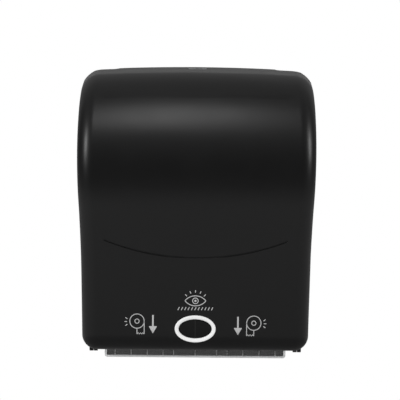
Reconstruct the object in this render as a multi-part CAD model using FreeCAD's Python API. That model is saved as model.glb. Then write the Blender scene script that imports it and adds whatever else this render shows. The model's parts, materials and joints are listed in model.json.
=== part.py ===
"""Automatic roll towel dispenser for a wall, in millimetres.

X points right, the front faces -Y, Z points up. The origin lies on the wall
plane, in the middle of the four wall screws, at half the cover's height.
"""
import FreeCAD, Part
import math
import os

Vec = FreeCAD.Vector

# Cabinet outline, heights counted up from the cover's bottom edge
COVER_HEIGHT = 348.0
COVER_DEPTH = 232.0
GEAR_BAY_WIDTH = 30.05
KNEE_HEIGHT = 128.0
KNEE_SPREAD = 3.6
KNEE_RADIUS = 500.0
SHOULDER_HEIGHT = 236.0
SHOULDER_SPREAD = 9.6
SHOULDER_RADIUS = 640.0
CROWN_SPREAD = 3.15
BOTTOM_CORNER_RADIUS = 18.0
SIDE_DRAFT = 2.0
TOP_SLOPE = 6.0
FRONT_LEAN = 8.0
FRONT_RADIUS = 148.0
EDGE_RADIUS = 18.0
WALL = 3.0
BLOCK_OVERHANG = 40.0

# Parting line between back housing and cover
HOUSING_DEPTH = 14.0
PARTING_GAP = 1.0
FLANGE_CLEARANCE = 0.8
FLANGE_THICKNESS = 2.0
FLANGE_REACH = 13.0
FLANGE_BOTTOM_HEIGHT = 14.0

# Fits
SEAT = 0.3
FIXED_FIT = 0.02
RUNNING_FIT = 0.05
HINGE_FIT = 0.1

# Wall screws
WALL_HOLE_SPACING_X = 150.0
WALL_HOLE_SPACING_Z = 140.0
WALL_HOLE_RADIUS = 3.25
WALL_BOSS_RADIUS = 9.0
WALL_BOSS_RISE = 2.0

# Ribs on the back plate
RIB_THICKNESS = 2.0
RIB_DEPTH = 7.0
RIB_SPACING = 44.0
RIB_BOTTOM_HEIGHT = 112.0
RIB_TOP_HEIGHT = 318.0
CROSS_RIB_HEIGHTS = (140.0, 200.0, 290.0)

# Cover hinge under the bottom edge
HINGE_SETBACK = 24.0
HINGE_DROP = 4.0
HINGE_EYE_RADIUS = 5.5
HINGE_PIN_RADIUS = 2.0
HINGE_LUG_MARGIN = 19.55
HINGE_LUG_WIDTH = 4.8
HINGE_HEAD_RADIUS = 3.2
HINGE_HEAD_THICKNESS = 1.2
BOTTOM_OPENING_DEPTH = 150.0

# Groove across the front of the cover
GROOVE_HALF_SPAN = 109.7
GROOVE_LOW_HEIGHT = 111.3
GROOVE_RISE = 20.5
GROOVE_WIDTH = 1.2
GROOVE_DEPTH = 0.8

# Oval sensor window low on the front
OVAL_HEIGHT = 24.8
OVAL_HALF_WIDTH = 25.0
OVAL_HALF_HEIGHT = 16.9
OVAL_BAND = 5.4
OVAL_SLEEVE = 1.6
BEZEL_RISE = 1.8
BEZEL_CHAMFER = 0.9
WINDOW_RECESS = 0.7
WINDOW_THICKNESS = 2.0

# Key lock in the top
LOCK_SETBACK = 27.0
LOCK_RADIUS = 6.0
LOCK_LENGTH = 17.0
LOCK_POCKET_HALF_WIDTH = 12.0
LOCK_POCKET_FRONT = 40.0
LOCK_POCKET_DEPTH = 1.2
LOCK_PLATE_THICKNESS = 1.0
LOCK_PLATE_MARGIN = 0.4
LOCK_NUT_RADIUS = 9.0
LOCK_NUT_THICKNESS = 3.0
LOCK_NOTCH_MARGIN = 1.5
KEY_SLOT_LENGTH = 7.0
KEY_SLOT_WIDTH = 1.4
KEY_SLOT_DEPTH = 4.0
CAM_LENGTH = 15.0
CAM_WIDTH = 7.0
CAM_THICKNESS = 2.5
CAM_SCREW_RADIUS = 1.5
CAM_SCREW_HEAD_RADIUS = 3.0
CAM_SCREW_HEAD_HEIGHT = 1.8
STRIKE_THICKNESS = 2.5
STRIKE_INNER = 9.0
STRIKE_WIDTH = 7.0
STRIKE_GAP = 1.6
STRIKE_BOSS_REACH = 10.0
STRIKE_BOSS_RADIUS = 5.0
STRIKE_FOOT = 16.0

# Towel roll and its core
ROLL_RADIUS = 88.0
ROLL_WIDTH = 200.0
ROLL_SETBACK = 112.0
ROLL_TOP_DROP = 134.0
CORE_INNER_RADIUS = 19.5
CORE_WALL = 1.5
WEB_THICKNESS = 0.3
WEB_SIDE_MARGIN = 1.0
WEB_TURN_HEIGHT = 69.0

# Arms that hold the roll
ARM_THICKNESS = 5.0
ARM_HUB_RADIUS = 16.0
ARM_KNUCKLE_RADIUS = 6.0
ARM_KNUCKLE_HALF_HEIGHT = 12.7
ARM_PIVOT_SETBACK = 16.0
ARM_PIN_RADIUS = 2.0
ARM_SPRING_HEIGHT = 6.4
ARM_SPRING_RADIUS = 4.4
ARM_SPRING_WIRE = 1.6
SPRING_LEG_HALF = 0.8
ARM_RIB_DEPTH = 2.0
BRACKET_THICKNESS = 4.0
BRACKET_HALF_WIDTH = 8.0
HUB_FLANGE_RADIUS = 24.0
HUB_FLANGE_THICKNESS = 2.5
HUB_CONE_LENGTH = 13.0
HUB_CONE_TIP_RADIUS = 15.0
HUB_BORE_RADIUS = 9.0
HUB_JOURNAL_RADIUS = 6.0
HUB_CAP_RADIUS = 8.0
HUB_CAP_THICKNESS = 1.4

# Drive module
MODULE_FRONT = 176.0
MODULE_REAR = 44.0
MODULE_BOTTOM_HEIGHT = 5.0
MODULE_TOP_HEIGHT = 88.0
CHEEK_ROLL_MARGIN = 12.0
CHEEK_THICKNESS = 4.0
CHASSIS_WALL = 3.0
CHASSIS_CORNER = 6.0
CHASSIS_TIE_GAP = 6.0
CHASSIS_SCREW_MARGIN = 12.0
CHASSIS_SCREW_HEIGHTS = (18.0, 80.0)
BOSS_RADIUS = 5.0
SCREW_RADIUS = 1.5
SCREW_HEAD_RADIUS = 3.0
SCREW_HEAD_HEIGHT = 1.8
SCREW_LENGTH = 10.0
SCREW_BITE = 5.0
CHUTE_SCREW_BITE = 6.0

# Rollers
DRIVE_SETBACK = 127.0
DRIVE_HEIGHT = 45.0
DRIVE_RADIUS = 13.0
DRIVE_SHAFT_RADIUS = 4.0
SLEEVE_LENGTH = 36.0
SLEEVE_COUNT = 4
SLEEVE_GROOVES = 3
SLEEVE_GROOVE_WIDTH = 2.0
SLEEVE_GROOVE_DEPTH = 0.8
BUSH_RADIUS = 6.5
BUSH_FLANGE_RADIUS = 8.0
BUSH_FLANGE_THICKNESS = 1.0
PINCH_RADIUS = 10.0
PINCH_SHAFT_RADIUS = 3.0
PINCH_ARM_THICKNESS = 3.0
PINCH_ARM_GAP = 1.7
PINCH_ARM_RADIUS = 6.0
PINCH_PIVOT_SETBACK = 165.0
PINCH_PIVOT_HEIGHT = 62.0
PINCH_PIN_RADIUS = 2.5
PINCH_SPRING_LENGTH = 7.0
PINCH_SPRING_WALL = 1.2

# Gears
GEAR_MODULE = 1.5
PRESSURE_ANGLE = 25.0
ADDENDUM = 0.8
DEDENDUM = 1.1
BACKLASH = 0.16
DRIVE_TEETH = 24
IDLER_SMALL_TEETH = 10
IDLER_LARGE_TEETH = 20
PINION_TEETH = 10
IDLER_DIRECTION = 20.0
PINION_DIRECTION = 0.0
GEAR_WIDTH = 4.5
GEAR_GAP = 0.7
GEAR_WEB_RADIUS = 13.0
GEAR_WEB_HUB_RADIUS = 6.0
GEAR_WEB_DEPTH = 1.4
IDLER_AXLE_RADIUS = 2.5
AXLE_HEAD_RIM = 1.5
AXLE_HEAD_THICKNESS = 1.2
CLIP_THICKNESS = 0.8
CLIP_MARGIN = 2.0

# Gear motor
MOTOR_RADIUS = 12.2
MOTOR_LENGTH = 31.0
GEARBOX_LENGTH = 14.0
GEARBOX_RADIUS = 16.0
MOTOR_SHAFT_RADIUS = 1.5
MOTOR_SCREW_OFFSET = 12.5

# Paper chute, blade and guard
CHUTE_THICKNESS = 2.0
CHUTE_GAP = 1.9
CHUTE_SIDE_MARGIN = 5.1
CHUTE_BOTTOM_DROP = 8.9
CHUTE_REAR_TOP_HEIGHT = 28.0
CHUTE_FRONT_TOP_HEIGHT = 33.0
CHUTE_TAB_DEPTH = 12.0
CHUTE_TAB_BOTTOM_HEIGHT = 8.0
CHUTE_TAB_TOP_HEIGHT = 26.0
BLADE_SIDE_MARGIN = 7.0
BLADE_THICKNESS = 1.0
BLADE_DROP = 12.0
BLADE_TOP_HEIGHT = 2.0
BLADE_TOOTH_PITCH = 6.0
BLADE_TOOTH_DEPTH = 1.8
BLADE_SCREW_SPACING = 84.0
BLADE_SCREW_HEIGHT = -3.0
GUARD_SETBACK = 151.0
GUARD_THICKNESS = 2.0
GUARD_SIDE_MARGIN = 2.4
GUARD_TOP_HEIGHT = 15.0
GUARD_CORNER = 3.0
GUARD_RIB_WIDTH = 1.8
GUARD_RIB_DEPTH = 1.4
GUARD_RIB_PLACES = (0.0, 26.0, 38.8, 58.0, 77.6, 97.0)

# Batteries
CELL_RADIUS = 17.1
CELL_LENGTH = 59.7
CELL_NUB_RADIUS = 4.7
CELL_NUB_LENGTH = 1.5
BATTERY_BAY_MARGIN = 15.0
BOX_WALL = 2.0
BATTERY_RIB_HEIGHT = 6.0
BOX_SIDE_CLEARANCE = 0.95
BOX_BOTTOM_HEIGHT = 33.0
CONTACT_THICKNESS = 0.6
CONTACT_CLEARANCE = 0.5
CONTACT_HALF_WIDTH = 8.0
DOOR_THICKNESS = 2.0
DOOR_BARREL_RADIUS = 2.5
DOOR_PIN_RADIUS = 1.5
DOOR_GAP = 0.3
DOOR_HALF_WIDTH = 90.0
DOOR_TAB_DEPTH = 4.0
DOOR_TAB_HALF_WIDTH = 14.0

# Fascia with its controls, board and sensor
FASCIA_THICKNESS = 3.0
FASCIA_TOP_LIP = 2.0
FASCIA_BOTTOM_GAP = 6.0
FASCIA_CORNER = 6.0
FASCIA_POST_WIDTH = 5.0
FASCIA_POST_REACH = 8.0
FASCIA_POST_HALF_HEIGHT = 5.0
FASCIA_POST_DROP = 12.0
BOARD_POST_RADIUS = 3.2
BOARD_POST_INSET = 4.0
BOARD_CHIPS = ((-8.0, 18.0, 8.0, 2.2), (-50.0, 12.0, 15.0, 6.0), (28.0, 8.0, 6.0, 2.0),
               (58.0, 12.0, 8.0, 5.0))
CAPACITOR_RADIUS = 4.0
CAPACITOR_LENGTH = 6.0
CAPACITOR_PLACES = (-32.0, -22.0, 44.0)
BOARD_SETBACK = 168.6
BOARD_THICKNESS = 1.6
BOARD_HALF_WIDTH = 72.0
BOARD_BOTTOM_HEIGHT = 60.0
BOARD_TOP_HEIGHT = 84.0
BUTTON_RADIUS = 6.0
BUTTON_X = 58.0
CONTROL_HEIGHT = 72.0
BUTTON_PROUD = 2.6
BUTTON_TRAVEL = 1.5
BUTTON_STEM_RADIUS = 3.0
BUTTON_FLANGE_RADIUS = 7.5
BUTTON_FLANGE_THICKNESS = 1.0
SWITCH_PLACES = (-62.0, -30.0)
SWITCH_TRAVEL = 6.0
SWITCH_KNOB_WIDTH = 5.0
SWITCH_KNOB_HEIGHT = 4.0
SWITCH_KNOB_PROUD = 2.0
SWITCH_SLOT_MARGIN = 0.4
SWITCH_FLANGE_MARGIN = 2.0
SWITCH_FLANGE_THICKNESS = 1.2
SWITCH_RIDGE_PITCH = 1.6
SWITCH_RIDGE_HALF = 0.3
SENSOR_FRONT = 197.0
SENSOR_HALF_WIDTH = 24.0
SENSOR_BOTTOM_HEIGHT = 12.0
SENSOR_TOP_HEIGHT = 38.0
SENSOR_WALL = 1.6
SENSOR_CORNER = 5.0
LED_RADIUS = 2.5
LED_LENGTH = 8.0
LED_OFFSET = 9.0

# Places worked out from the sizes above
FLOOR = -COVER_HEIGHT / 2
HOUSING_FRONT = -HOUSING_DEPTH
COVER_REAR = -HOUSING_DEPTH - PARTING_GAP
CHEEK_HALF_SPAN = ROLL_WIDTH / 2 + CHEEK_ROLL_MARGIN
BOTTOM_HALF_WIDTH = CHEEK_HALF_SPAN + GEAR_BAY_WIDTH
KNEE_HALF_WIDTH = BOTTOM_HALF_WIDTH + KNEE_SPREAD
SHOULDER_HALF_WIDTH = BOTTOM_HALF_WIDTH + SHOULDER_SPREAD
CROWN_HALF_WIDTH = BOTTOM_HALF_WIDTH + CROWN_SPREAD
HINGE_LUG_START = BOTTOM_HALF_WIDTH - HINGE_LUG_MARGIN
CHASSIS_SCREW_X = CHEEK_HALF_SPAN - CHASSIS_SCREW_MARGIN
CELL_PITCH = CELL_LENGTH + CELL_NUB_LENGTH + SEAT
CELL_COUNT = int(2 * (BOTTOM_HALF_WIDTH - BATTERY_BAY_MARGIN) / CELL_PITCH)
FRONT_CENTRE_Y = FRONT_RADIUS - COVER_DEPTH
ROLL_Y = -ROLL_SETBACK
ROLL_Z = COVER_HEIGHT / 2 - ROLL_TOP_DROP
DRIVE_Y = -DRIVE_SETBACK
DRIVE_Z = FLOOR + DRIVE_HEIGHT
NIP_Y = DRIVE_Y - DRIVE_RADIUS - SEAT - WEB_THICKNESS / 2
PINCH_Y = NIP_Y - WEB_THICKNESS / 2 - SEAT - PINCH_RADIUS
HINGE_Y = -HINGE_SETBACK
HINGE_Z = FLOOR - HINGE_DROP
HINGE_EAR_START = HINGE_LUG_START + HINGE_LUG_WIDTH + SEAT
ARM_INNER = ROLL_WIDTH / 2 + SEAT + HUB_FLANGE_THICKNESS + SEAT
ARM_PIVOT_X = ARM_INNER + ARM_KNUCKLE_RADIUS
ARM_PIVOT_Y = -ARM_PIVOT_SETBACK
WEB_HALF_WIDTH = ROLL_WIDTH / 2 - WEB_SIDE_MARGIN
CHEEK_OUTER = CHEEK_HALF_SPAN + CHEEK_THICKNESS
CHUTE_HALF_WIDTH = CHEEK_HALF_SPAN - CHUTE_SIDE_MARGIN
BLADE_HALF_WIDTH = CHEEK_HALF_SPAN - BLADE_SIDE_MARGIN
GUARD_HALF_WIDTH = CHEEK_HALF_SPAN - GUARD_SIDE_MARGIN
GEAR_INNER_X = CHEEK_OUTER + BUSH_FLANGE_THICKNESS + SEAT
GEAR_OUTER_X = GEAR_INNER_X + GEAR_WIDTH + GEAR_GAP
GEAR_END_X = GEAR_OUTER_X + GEAR_WIDTH
IDLER_DISTANCE = GEAR_MODULE * (DRIVE_TEETH + IDLER_SMALL_TEETH) / 2
PINION_DISTANCE = GEAR_MODULE * (IDLER_LARGE_TEETH + PINION_TEETH) / 2
IDLER_Y = DRIVE_Y + IDLER_DISTANCE * math.cos(math.radians(IDLER_DIRECTION))
IDLER_Z = DRIVE_Z + IDLER_DISTANCE * math.sin(math.radians(IDLER_DIRECTION))
PINION_Y = IDLER_Y + PINION_DISTANCE * math.cos(math.radians(PINION_DIRECTION))
PINION_Z = IDLER_Z + PINION_DISTANCE * math.sin(math.radians(PINION_DIRECTION))


def tangent(degrees):
    return math.tan(math.radians(degrees))


FRONT_CENTRE_Z = (COVER_HEIGHT / 2 + FRONT_CENTRE_Y * tangent(TOP_SLOPE)
                  - FRONT_RADIUS / math.cos(math.radians(TOP_SLOPE)))
FRONT_FOOT_Y = (FRONT_CENTRE_Y - FRONT_RADIUS / math.cos(math.radians(FRONT_LEAN))
                + (FRONT_CENTRE_Z - FLOOR) * tangent(FRONT_LEAN))


def top_at(y):
    """Height of the cover's flat top at a depth y."""
    return COVER_HEIGHT / 2 + y * tangent(TOP_SLOPE)


def front_at(z):
    """Depth of the leaning lower front at a height z."""
    return FRONT_FOOT_Y - (z - FLOOR) * tangent(FRONT_LEAN)


# General shapes
def box(x0, x1, y0, y1, z0, z1):
    low = Vec(min(x0, x1), min(y0, y1), min(z0, z1))
    return Part.makeBox(abs(x1 - x0), abs(y1 - y0), abs(z1 - z0), low)


def rod(radius, start, end):
    start, end = Vec(*start), Vec(*end)
    along = end - start
    return Part.makeCylinder(radius, along.Length, start, along)


def rod_x(radius, x0, x1, y, z):
    return rod(radius, (x0, y, z), (x1, y, z))


def rod_y(radius, y0, y1, x, z):
    return rod(radius, (x, y0, z), (x, y1, z))


def rod_z(radius, z0, z1, x, y):
    return rod(radius, (x, y, z0), (x, y, z1))


def ring_x(outer, inner, x0, x1, y, z):
    return rod_x(outer, x0, x1, y, z).cut(rod_x(inner, x0, x1, y, z))


def mirrored(shape):
    """The same piece on the other side of the middle."""
    return shape.mirror(Vec(0, 0, 0), Vec(1, 0, 0))


def both_sides(shape):
    return [shape, mirrored(shape)]


def fused(shapes):
    whole = shapes[0]
    if len(shapes) > 1:
        whole = whole.multiFuse(shapes[1:])
    return whole.removeSplitter()


def rounded_wire(points, radii):
    """A closed outline whose corners are tangent arcs of the given radii."""
    corners = []
    for i, (point, radius) in enumerate(zip(points, radii)):
        if not radius:
            corners.append((point,))
            continue
        back = (points[i - 1] - point).normalize()
        ahead = (points[(i + 1) % len(points)] - point).normalize()
        half = back.getAngle(ahead) / 2
        reach = radius / math.tan(half)
        middle = (back + ahead).normalize() * (radius / math.sin(half) - radius)
        corners.append((point + back * reach, point + middle, point + ahead * reach))
    edges = []
    for i, corner in enumerate(corners):
        if len(corner) == 3:
            edges.append(Part.Arc(*corner).toShape())
        following = corners[(i + 1) % len(corners)][0]
        if (corner[-1] - following).Length > 1e-5:
            edges.append(Part.LineSegment(corner[-1], following).toShape())
    return Part.Wire(edges)


def plate_x(x0, x1, points, radii=None):
    """A plate across X, from its (y, z) corners."""
    corners = [Vec(x0, y, z) for y, z in points]
    face = Part.Face(rounded_wire(corners, radii or [0] * len(corners)))
    return face.extrude(Vec(x1 - x0, 0, 0))


def plate_y(y0, y1, points, radii=None):
    """A plate across Y, from its (x, z) corners."""
    corners = [Vec(x, y0, z) for x, z in points]
    face = Part.Face(rounded_wire(corners, radii or [0] * len(corners)))
    return face.extrude(Vec(0, y1 - y0, 0))


def plate_z(z0, z1, points, radii=None):
    """A plate across Z, from its (x, y) corners."""
    corners = [Vec(x, y, z0) for x, y in points]
    face = Part.Face(rounded_wire(corners, radii or [0] * len(corners)))
    return face.extrude(Vec(0, 0, z1 - z0))


def link_x(x0, x1, first, first_radius, second, second_radius):
    """A flat lever across X with round ends of two radii."""
    (y1, z1), (y2, z2) = first, second
    distance = math.hypot(y2 - y1, z2 - z1)
    heading = math.atan2(z2 - z1, y2 - y1)
    spread = math.acos((first_radius - second_radius) / distance)
    corners = []
    for (y, z), radius, sign in ((first, first_radius, 1), (second, second_radius, 1),
                                 (second, second_radius, -1), (first, first_radius, -1)):
        angle = heading + sign * spread
        corners.append(Vec(x0, y + radius * math.cos(angle), z + radius * math.sin(angle)))
    bar = Part.Face(Part.makePolygon(corners + corners[:1])).extrude(Vec(x1 - x0, 0, 0))
    ends = [rod_x(first_radius, x0, x1, y1, z1), rod_x(second_radius, x0, x1, y2, z2)]
    return fused([bar] + ends)


def screw_y(x, z, head_y, length=SCREW_LENGTH):
    """A pan head screw driven towards the wall; its head rests on head_y."""
    shank = rod_y(SCREW_RADIUS, head_y - FIXED_FIT, head_y + length, x, z)
    head = rod_y(SCREW_HEAD_RADIUS, head_y - FIXED_FIT - SCREW_HEAD_HEIGHT,
                 head_y - FIXED_FIT, x, z)
    return fused([shank, head])


def screw_x(y, z, head_x, length):
    """A pan head screw driven inwards from the right; its head rests on head_x."""
    shank = rod_x(SCREW_RADIUS, head_x + FIXED_FIT, head_x - length, y, z)
    head = rod_x(SCREW_HEAD_RADIUS, head_x + FIXED_FIT,
                 head_x + FIXED_FIT + SCREW_HEAD_HEIGHT, y, z)
    return fused([shank, head])


# Cabinet body, cut later into back housing and cover
def inset(points, amount, moving):
    """Shift the flagged sides of a counter-clockwise outline inwards."""
    lines = []
    for i, (x0, y0) in enumerate(points):
        x1, y1 = points[(i + 1) % len(points)]
        length = math.hypot(x1 - x0, y1 - y0)
        shift = amount if moving[i] else 0
        lines.append((x0 - (y1 - y0) / length * shift, y0 + (x1 - x0) / length * shift,
                      x1 - x0, y1 - y0))
    out = []
    for i, (bx, by, bdx, bdy) in enumerate(lines):
        ax, ay, adx, ady = lines[i - 1]
        along = ((bx - ax) * bdy - (by - ay) * bdx) / (adx * bdy - ady * bdx)
        out.append((ax + adx * along, ay + ady * along))
    return out


def sharp_block(inset_by):
    """The cabinet's outer form, moved inwards, before its edges are rounded."""
    rear = BLOCK_OVERHANG
    below = FLOOR - BLOCK_OVERHANG
    steep = tangent(FRONT_LEAN)
    corner_z = (COVER_HEIGHT / 2 + (FRONT_FOOT_Y + FLOOR * steep) * tangent(TOP_SLOPE)) / (
        1 + steep * tangent(TOP_SLOPE))
    side = [(rear, below), (rear, top_at(rear)), (front_at(corner_z), corner_z),
            (front_at(below), below)]
    side = inset(side, inset_by, (0, 1, 1, 0))
    reach = SHOULDER_HALF_WIDTH + BLOCK_OVERHANG
    core = plate_x(-reach, reach, side, (0, 0, FRONT_RADIUS - inset_by, 0))
    above = COVER_HEIGHT + BLOCK_OVERHANG
    spread = (CROWN_HALF_WIDTH - SHOULDER_HALF_WIDTH) / (COVER_HEIGHT - SHOULDER_HEIGHT)
    crown = SHOULDER_HALF_WIDTH + spread * (above - SHOULDER_HEIGHT)
    outline = [(-reach, 0), (BOTTOM_HALF_WIDTH, 0), (KNEE_HALF_WIDTH, KNEE_HEIGHT),
               (SHOULDER_HALF_WIDTH, SHOULDER_HEIGHT), (crown, above), (-reach, above)]
    outline = inset(outline, inset_by, (1, 1, 1, 1, 0, 0))
    outline = [(x, FLOOR + height) for x, height in outline]
    radii = (0, BOTTOM_CORNER_RADIUS - inset_by, KNEE_RADIUS + inset_by,
             SHOULDER_RADIUS - inset_by, 0, 0)
    right = plate_y(rear, -COVER_DEPTH - 2 * BLOCK_OVERHANG, outline, radii)
    right.rotate(Vec(SHOULDER_HALF_WIDTH, 0, 0), Vec(0, 0, 1), -SIDE_DRAFT)
    return core.common(right).common(mirrored(right)).Solids[0]


def sharp_edges(solid):
    """Edges in front of the wall where two faces meet at a clear angle."""
    found = []
    for edge in solid.Edges:
        faces = solid.ancestorsOfType(edge, Part.Face)
        middle = edge.valueAt((edge.FirstParameter + edge.LastParameter) / 2)
        if len(faces) != 2 or middle.y > -0.5:
            continue
        normals = [face.normalAt(*face.Surface.parameter(middle)) for face in faces]
        if math.degrees(normals[0].getAngle(normals[1])) > 5:
            found.append(edge)
    return found


def outer_block():
    block = sharp_block(0)
    return block.makeFillet(EDGE_RADIUS, sharp_edges(block))


def inner_block(inset_by):
    """The same form moved inwards, its edges cut off flat inside the rounding."""
    block = sharp_block(inset_by)
    leg = (EDGE_RADIUS - inset_by) * (2 - math.sqrt(2))
    return block.makeChamfer(leg, sharp_edges(block))


def slab(y0, y1, z0=FLOOR - BLOCK_OVERHANG):
    """Everything between two depths, above a height."""
    reach = SHOULDER_HALF_WIDTH + BLOCK_OVERHANG
    return box(-reach, reach, y0, y1, z0, COVER_HEIGHT / 2 + BLOCK_OVERHANG)


def hinge_eye(x0, x1, top):
    """Half round eye that hangs under the bottom edge."""
    hinge = [(HINGE_Y - HINGE_EYE_RADIUS, HINGE_Z), (HINGE_Y + HINGE_EYE_RADIUS, HINGE_Z),
             (HINGE_Y + HINGE_EYE_RADIUS, top), (HINGE_Y - HINGE_EYE_RADIUS, top)]
    return [plate_x(x0, x1, hinge), rod_x(HINGE_EYE_RADIUS, x0, x1, HINGE_Y, HINGE_Z)]


def wall_hole_places():
    x, z = WALL_HOLE_SPACING_X / 2, WALL_HOLE_SPACING_Z / 2
    return [(x, z), (-x, z), (x, -z), (-x, -z)]


def chassis_screw_places():
    return [(side * CHASSIS_SCREW_X, FLOOR + height)
            for side in (1, -1) for height in CHASSIS_SCREW_HEIGHTS]


def make_back_housing(outer):
    """Tray with a nesting flange, ribs, bosses, arm brackets and hinge lugs."""
    tray = outer.common(slab(HOUSING_FRONT, 0))
    tray = tray.cut(inner_block(WALL).common(slab(HOUSING_FRONT - WALL, -WALL)))
    gap_inside = WALL + FLANGE_CLEARANCE
    flange = inner_block(gap_inside).cut(inner_block(gap_inside + FLANGE_THICKNESS))
    flange = flange.common(slab(HOUSING_FRONT - FLANGE_REACH, -WALL / 2,
                                FLOOR + FLANGE_BOTTOM_HEIGHT))
    added = list(flange.Solids)
    plate_y0 = -WALL / 2
    rib_tip = -WALL - RIB_DEPTH
    for side in (-1, 0, 1):
        x = side * RIB_SPACING
        added.append(box(x - RIB_THICKNESS / 2, x + RIB_THICKNESS / 2, rib_tip, plate_y0,
                         FLOOR + RIB_BOTTOM_HEIGHT, FLOOR + RIB_TOP_HEIGHT))
    for height in CROSS_RIB_HEIGHTS:
        z = FLOOR + height
        added.append(box(-RIB_SPACING * 2, RIB_SPACING * 2, rib_tip, plate_y0,
                         z - RIB_THICKNESS / 2, z + RIB_THICKNESS / 2))
    for x, z in wall_hole_places():
        added.append(rod_y(WALL_BOSS_RADIUS, plate_y0, -WALL - WALL_BOSS_RISE, x, z))
    for x, z in chassis_screw_places():
        added.append(rod_y(BOSS_RADIUS, plate_y0, -MODULE_REAR, x, z))
    shelf_z = FLOOR + BOX_BOTTOM_HEIGHT - SEAT
    added.append(box(-CHASSIS_SCREW_X, CHASSIS_SCREW_X, -MODULE_REAR + 2 * WALL, plate_y0,
                     shelf_z - RIB_THICKNESS, shelf_z))
    added.append(strike_boss())
    for sign in (-1, 1):
        inner_z = ROLL_Z + sign * (ARM_KNUCKLE_HALF_HEIGHT + SEAT)
        for x in (ARM_PIVOT_X, -ARM_PIVOT_X):
            added.append(box(x - BRACKET_HALF_WIDTH, x + BRACKET_HALF_WIDTH, ARM_PIVOT_Y,
                             plate_y0, inner_z, inner_z + sign * BRACKET_THICKNESS))
            added.append(rod_z(BRACKET_HALF_WIDTH, inner_z, inner_z + sign * BRACKET_THICKNESS,
                               x, ARM_PIVOT_Y))
    lug_end = HINGE_LUG_START + HINGE_LUG_WIDTH
    lug = hinge_eye(HINGE_LUG_START, lug_end, FLOOR + WALL)
    lug.append(box(HINGE_LUG_START, lug_end, HINGE_Y, HOUSING_FRONT / 2, FLOOR - WALL / 2,
                   FLOOR + WALL))
    for piece in lug:
        added += both_sides(piece)
    housing = fused([tray] + added)
    notch_half = LOCK_NUT_RADIUS + LOCK_NOTCH_MARGIN
    lock_notch = box(-notch_half, notch_half, COVER_REAR, HOUSING_FRONT - 2 * FLANGE_REACH,
                     strike_top() + 2 * STRIKE_THICKNESS, COVER_HEIGHT / 2)
    holes = [lock_notch] + [rod_y(WALL_HOLE_RADIUS, 1, -WALL - WALL_BOSS_RISE - 1, x, z)
             for x, z in wall_hole_places()]
    for x, z in chassis_screw_places():
        holes.append(rod_y(SCREW_RADIUS + FIXED_FIT, -MODULE_REAR - 1,
                           -MODULE_REAR + SCREW_LENGTH, x, z))
    arm_pin_reach = ARM_KNUCKLE_HALF_HEIGHT + SEAT + BRACKET_THICKNESS + 1
    for x in (ARM_PIVOT_X, -ARM_PIVOT_X):
        holes.append(rod_z(ARM_PIN_RADIUS + FIXED_FIT, ROLL_Z - arm_pin_reach,
                           ROLL_Z + arm_pin_reach, x, ARM_PIVOT_Y))
    pin_hole = rod_x(HINGE_PIN_RADIUS + FIXED_FIT, HINGE_LUG_START - 1, lug_end + 1,
                     HINGE_Y, HINGE_Z)
    holes += both_sides(pin_hole)
    strike_x, strike_z = strike_screw_place()
    holes.append(rod_y(SCREW_RADIUS + FIXED_FIT, -STRIKE_BOSS_REACH - 1,
                       -STRIKE_BOSS_REACH + SCREW_LENGTH, strike_x, strike_z))
    return housing.cut(Part.makeCompound(holes))


# Front cover
def on_front(height):
    """Point on the leaning front at a height, and the frame of that face."""
    z = FLOOR + height
    lean = math.radians(FRONT_LEAN)
    outward = Vec(0, -math.cos(lean), -math.sin(lean))
    upward = Vec(0, -math.sin(lean), math.cos(lean))
    return Vec(0, front_at(z), z), outward, upward


def front_oval(half_width, half_height, out_from, out_to):
    """An oval prism square to the leaning front, centred on the sensor window."""
    centre, outward, upward = on_front(OVAL_HEIGHT)
    start = centre + outward * out_from
    oval = Part.Ellipse(start + Vec(half_width, 0, 0), start + upward * half_height, start)
    face = Part.Face(Part.Wire([oval.toShape()]))
    return face.extrude(outward * (out_to - out_from))


def groove_cutter():
    """A shallow arc across the front, lowest in the middle."""
    low, outward, upward = on_front(GROOVE_LOW_HEIGHT)
    rise = GROOVE_RISE / math.cos(math.radians(FRONT_LEAN))
    radius = (GROOVE_HALF_SPAN ** 2 + rise ** 2) / (2 * rise)
    centre = low + upward * radius
    half_angle = math.asin(GROOVE_HALF_SPAN / radius)

    def at(distance, angle):
        across = Vec(distance * math.sin(angle), 0, 0)
        return centre + across - upward * (distance * math.cos(angle))

    near, far = radius - GROOVE_WIDTH / 2, radius + GROOVE_WIDTH / 2
    edges = [Part.Arc(*[at(far, side * half_angle) for side in (-1, 0, 1)]).toShape(),
             Part.LineSegment(at(far, half_angle), at(near, half_angle)).toShape(),
             Part.Arc(*[at(near, side * half_angle) for side in (1, 0, -1)]).toShape(),
             Part.LineSegment(at(near, -half_angle), at(far, -half_angle)).toShape()]
    face = Part.Face(Part.Wire(edges))
    face.translate(outward)
    return face.extrude(-outward * (1 + GROOVE_DEPTH))


def top_layer(depth_from, depth_to, half_width, front, rear, front_corner=0):
    """A slab parallel to the sloping top, between two depths below it."""
    corners = [(-half_width, front), (half_width, front), (half_width, rear),
               (-half_width, rear)]
    radii = (front_corner, front_corner, 0, 0)
    low = COVER_HEIGHT / 2 - depth_to
    layer = plate_z(low, COVER_HEIGHT / 2 - depth_from, corners, radii)
    layer.rotate(Vec(0, 0, COVER_HEIGHT / 2), Vec(1, 0, 0), TOP_SLOPE)
    return layer


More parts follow.
